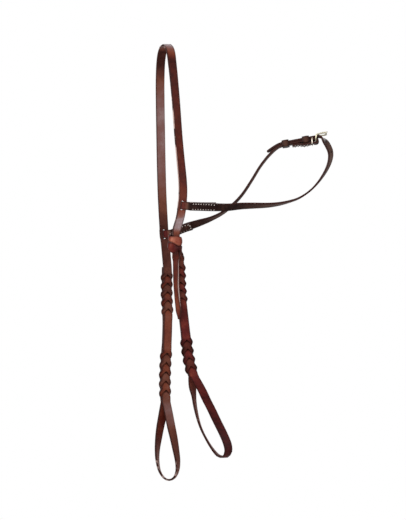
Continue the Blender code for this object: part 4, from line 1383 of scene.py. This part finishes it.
def fold_stitches(name, rings, tab_count, main_start, closed, finish):
    """Stitches on both faces of a throat strap's fold, the lower row darker where it is a row of its own."""
    lengths = strap_lengths(rings)
    sewn = lengths[tab_count - 1] - 2 * stitch_inset
    for face, start, sense in (
        ("inner", lengths[tab_count - 1] - stitch_inset, -1),
        ("outer", lengths[main_start] + stitch_inset, 1),
    ):
        end = start + sense * sewn
        if closed:
            stitches(f"{name}_{face}", rings, sewn_round(start, end), (oiled_thread, 0, 0), finish)
        else:
            for row, share, soil in (("upper", seam_share, 0), ("lower", -seam_share, oiled_thread / 4)):
                stitches(f"{name}_{face}_{row}", rings, [(start, share), (end, share)], (soil,), finish)


def keeper_skin(kind, body, place_along, finishes):
    """Leather keeper: a crowned band round both throat straps, with a painted highlight on its near side."""
    low = -throat_thickness / 2
    high = stacked + throat_thickness / 2
    half_high = (high - low) / 2 + keeper_gap + keeper_skin_thickness / 2
    half_wide = throat_width / 2 + keeper_gap + keeper_skin_thickness / 2
    fine = refined(rounded_ring(half_wide, half_high, keeper_corner, keeper_corner_steps), keeper_step)
    band = bmesh.new()
    along_map, edge_map, trim_map = [band.loops.layers.uv.new(name) for name in ("along", "edge", "trim")]
    rows = []
    for cut in range(keeper_cuts + 1):
        part = cut / keeper_cuts
        crown = keeper_crown * (1 - (2 * part - 1) ** 2)
        along = (part - 0.5) * keeper_length - place_along
        row = []
        for x, y in fine:
            grown = 1 + crown / math.hypot(x, y)
            row.append(band.verts.new(in_buckle(along, x * grown, (high + low) / 2 + y * grown)))
        rows.append(row)

    def write(loop, step, side, around):
        across = step / keeper_cuts * keeper_length
        # Painted highlight on the near side, strongest halfway along the keeper
        beside = smooth_step((-fine[side][0] / half_wide - painted_highlight_start) / (1 - painted_highlight_start))
        painted_highlight = keeper_painted_highlight * beside * math.sin(math.pi * across / keeper_length) ** 2
        loop[along_map].uv = ((side + around) * keeper_step, across)
        loop[edge_map].uv = (min(across, keeper_length - across), keeper_tone + painted_highlight)
        loop[trim_map].uv = (keeper_pale, 0)

    tube(band, rows, write)
    bmesh.ops.recalc_face_normals(band, faces=band.faces)
    made = meshed(f"{kind}_keeper_leather", band)
    thickened(made, keeper_skin_thickness, keeper_round)
    fitted(made, finishes, body, f"{kind}_keeper")


def rod(name, node, body, points, radii, finish, closed=False):
    """Smooth rod of changing thickness along points."""
    curve = bpy.data.curves.new(name, "CURVE")
    curve.dimensions = "3D"
    curve.bevel_depth = 1
    curve.bevel_resolution = 4
    curve.use_fill_caps = True
    line = curve.splines.new("POLY")
    line.points.add(len(points) - 1)
    for spot, point, radius in zip(line.points, points, radii):
        spot.co = (*point, 1)
        spot.radius = radius
    line.use_cyclic_u = closed
    fitted(linked(name, curve), [finish], body, node)


def staple(side, sign, finish):
    """Nickel staple that closes one edge of the chape beside the heel bar, its ends bent into the leather."""
    spots = [(past, staple_top + rise) for past, rise in staple_bend]
    spots += [(past, -staple_foot - rise) for past, rise in reversed(staple_bend)]
    points = []
    for past, out in spots:
        points.append(in_buckle(out * staple_slope - staple_place, sign * (throat_width / 2 + past), out))
    rod(f"chape_staple_{side}", None, "throatlatch", points, [staple_radius] * len(points), finish)


def buckle_frame(finish):
    """Frame with heel bar, arched rails and a stouter far rail."""
    half_across = throat_width / 2 + buckle_side_gap + buckle_corner
    outline = rounded_ring(buckle_reach / 2, half_across, buckle_corner, buckle_corner_steps)
    points, radii = [], []
    for along, across in refined(outline, frame_step):
        share = (along + buckle_reach / 2) / buckle_reach
        arch = 1 - (1 - min(1, share / rail_rise_share)) ** 2
        points.append(in_buckle(share * buckle_reach, across, -bar_depth + buckle_rise * arch))
        stout = smooth_step((share - stout_start) / (1 - stout_start))
        radii.append(wire_radius * (rail_share + stout_share * stout))
    rod("buckle_frame_cast", "buckle_frame", "buckle", points, radii, finish, closed=True)


def buckle_tongue(finish):
    """Tongue: an eye round the bar, and a shank through the billet's hole that rests on the far rail."""
    eye = wire_radius + tongue_gap + tongue_radius
    spots = []
    for step in range(eye_steps + 1):
        angle = eye_start - eye_turn * step / eye_steps
        spots.append((eye * math.cos(angle), 0, -bar_depth + eye * math.sin(angle)))
    low = -bar_depth + eye
    rows = [(buckle_reach * along, 0, low + buckle_rise * rise) for along, rise in shank_shares]
    rows.append((buckle_reach + tongue_overhang, 0, low + buckle_rise - tongue_radius / 2))
    spots += even_steps([spots[-1], *rows], tongue_step)[1:]
    radii = []
    for number in range(len(spots)):
        taper = max(0, (number / len(spots) - taper_start) / (1 - taper_start))
        radii.append(tongue_radius * (root_share - taper_share * taper))
    points = [in_buckle(*spot) for spot in spots]
    rod("buckle_tongue_wire", "buckle_tongue", "tongue", points, radii, finish)


def leathers():
    """Grain, flesh and cut edge of each leather."""
    # The pale colour of the cut edge is its painted highlight
    cut_edge = edge_leather("cut edge", tint(36, 18, 15), tint(72, 40, 34), tint(190, 160, 152))
    finishes = {}
    for kind, (grain, flesh) in leather_tints.items():
        finishes[kind] = (
            grain_leather(f"{kind} leather, grain", [tint(*stop) for stop in grain]),
            flesh_leather(f"{kind} leather, flesh", [tint(*stop) for stop in flesh]),
            cut_edge,
        )
    return finishes


def dress():
    """Every fine piece in place of its CAD node."""
    finishes = leathers()
    brown = finishes["throatlatch"]
    crown, near_frame, off_frame = crown_rings()
    off_rings, off_tab, off_main, free_count = off_throat_rings(off_frame)
    near_rings, near_tab, near_main = near_throat_rings(near_frame, off_rings, free_count)
    for name, node, body, slot, rings, thickness, leather in (
        ("crown_strap", "crown_strap", "crown", "harness", crown, strap_thickness, finishes["harness"]),
        ("near_cheek", "near_cheek_strap", "near_cheek", "oiled", near_cheek_rings(), strap_thickness,
         finishes["oiled"]),
        ("off_throat", "off_throat_strap", "throatlatch", "harness", off_rings, throat_thickness, brown),
        ("near_throat", "near_throat_strap", "throatlatch", "oiled", near_rings, throat_thickness, brown),
    ):
        strap_skin(f"{name}_leather", node, body, rings, thickness, leather)
    keeper_skin("fixed", "throatlatch", fixed_keeper_place, brown)
    keeper_skin("sliding", "keeper", sliding_keeper_place, brown)
    buckle_frame(nickel_plate("dull nickel", tint(192, 184, 158), tint(100, 90, 66)))
    # The tongue's nickel is darker all over: painted shade
    buckle_tongue(nickel_plate("tongue nickel, painted shade", tint(128, 120, 96), tint(70, 62, 44)))
    # The staples' nickel is paler all over: painted highlight
    painted_highlight_nickel = nickel_plate("staple nickel, painted highlight", tint(236, 226, 210), tint(200, 188, 168))
    staple("near", -1, painted_highlight_nickel)
    staple("far", 1, painted_highlight_nickel)
    thread = waxed_thread("waxed thread")
    fold_stitches("near_fold", near_rings, near_tab, near_main, False, thread)
    fold_stitches("off_fold", off_rings, off_tab, off_main, True, thread)
    end = strap_lengths(off_rings)[-1]
    corners = sewn_round(end - chape_length + chape_settle + stitch_inset, end - stitch_inset)
    stitches("chape", off_rings, corners, (oiled_thread, oiled_thread / 2, 0), thread)


def area_light(name, spot, aim, size, power, colour):
    """Soft box."""
    data = bpy.data.lights.new(name, "AREA")
    data.shape = "RECTANGLE"
    data.size, data.size_y = size
    data.energy = power
    data.color = colour
    lamp = linked(name, data)
    lamp.location = spot
    lamp.rotation_euler = (Vector(aim) - Vector(spot)).to_track_quat("-Z", "Y").to_euler()


def camera():
    """Level camera without perspective, framed as the photograph is."""
    data = bpy.data.cameras.new("camera")
    data.type = "ORTHO"
    data.ortho_scale = photo_height * pixel
    data.clip_end = 20
    made = linked("camera", data)
    made.location = place(photo_width / 2, photo_height / 2, 0) + Vector((0, -camera_distance, 0))
    made.rotation_euler = (math.pi / 2, 0, 0)
    bpy.context.scene.camera = made


def surroundings():
    """World that is white to the camera and in reflections, and a soft cool light on the object."""
    world = bpy.data.worlds.new("studio")
    bpy.context.scene.world = world
    world.use_nodes = True
    tree = world.node_tree
    tree.nodes.clear()
    made = {}
    for role, kind in (
        ("output", "OutputWorld"), ("seen", "Background"), ("lit", "Background"), ("path", "LightPath"),
        ("both", "MixShader"), ("shown", "Math"), ("mirrored", "Math"),
    ):
        made[role] = tree.nodes.new("ShaderNode" + kind)
    for role, colour, strength in (("seen", (1, 1, 1, 1), 1), ("lit", world_colour, world_strength)):
        made[role].inputs["Color"].default_value = colour
        made[role].inputs["Strength"].default_value = strength
    for role in ("shown", "mirrored"):
        made[role].operation = "MAXIMUM"
    for source, output, target, number in (
        ("path", "Is Glossy Ray", "mirrored", 0), ("path", "Is Transmission Ray", "mirrored", 1),
        ("path", "Is Camera Ray", "shown", 0), ("mirrored", 0, "shown", 1), ("shown", 0, "both", 0),
        ("lit", 0, "both", 1), ("seen", 0, "both", 2), ("both", 0, "output", 0),
    ):
        tree.links.new(made[source].outputs[output], made[target].inputs[number])


def floor():
    """Wide pale floor below the headstall."""
    mesh = bpy.data.meshes.new("floor")
    square = ((-1, -1), (1, -1), (1, 1), (-1, 1))
    corners = [(x * floor_reach, y * floor_reach, floor_level) for x, y in square]
    mesh.from_pydata(corners, [], [(0, 1, 2, 3)])
    paint = Nodes("floor paint")
    speckle = paint.span(paint.noise(paint.where(), 6, 3, 0.5), 0.3, 0.7)
    colour = paint.mix(speckle, (0.80, 0.80, 0.81, 1), (0.83, 0.83, 0.83, 1))
    paint.put(paint.tree.nodes["Principled BSDF"], {"Base Color": colour, "Roughness": 0.8})
    mesh.materials.append(paint.material)
    linked("floor", mesh)


def studio():
    """Camera as in the photograph, soft lights, white surroundings and a pale floor."""
    camera()
    surroundings()
    for name, spot, aim, size, power, colour in lamps:
        area_light(name, spot, aim, size, power, colour)
    floor()
    bpy.context.scene.view_settings.view_transform = "Standard"


dress()
studio()
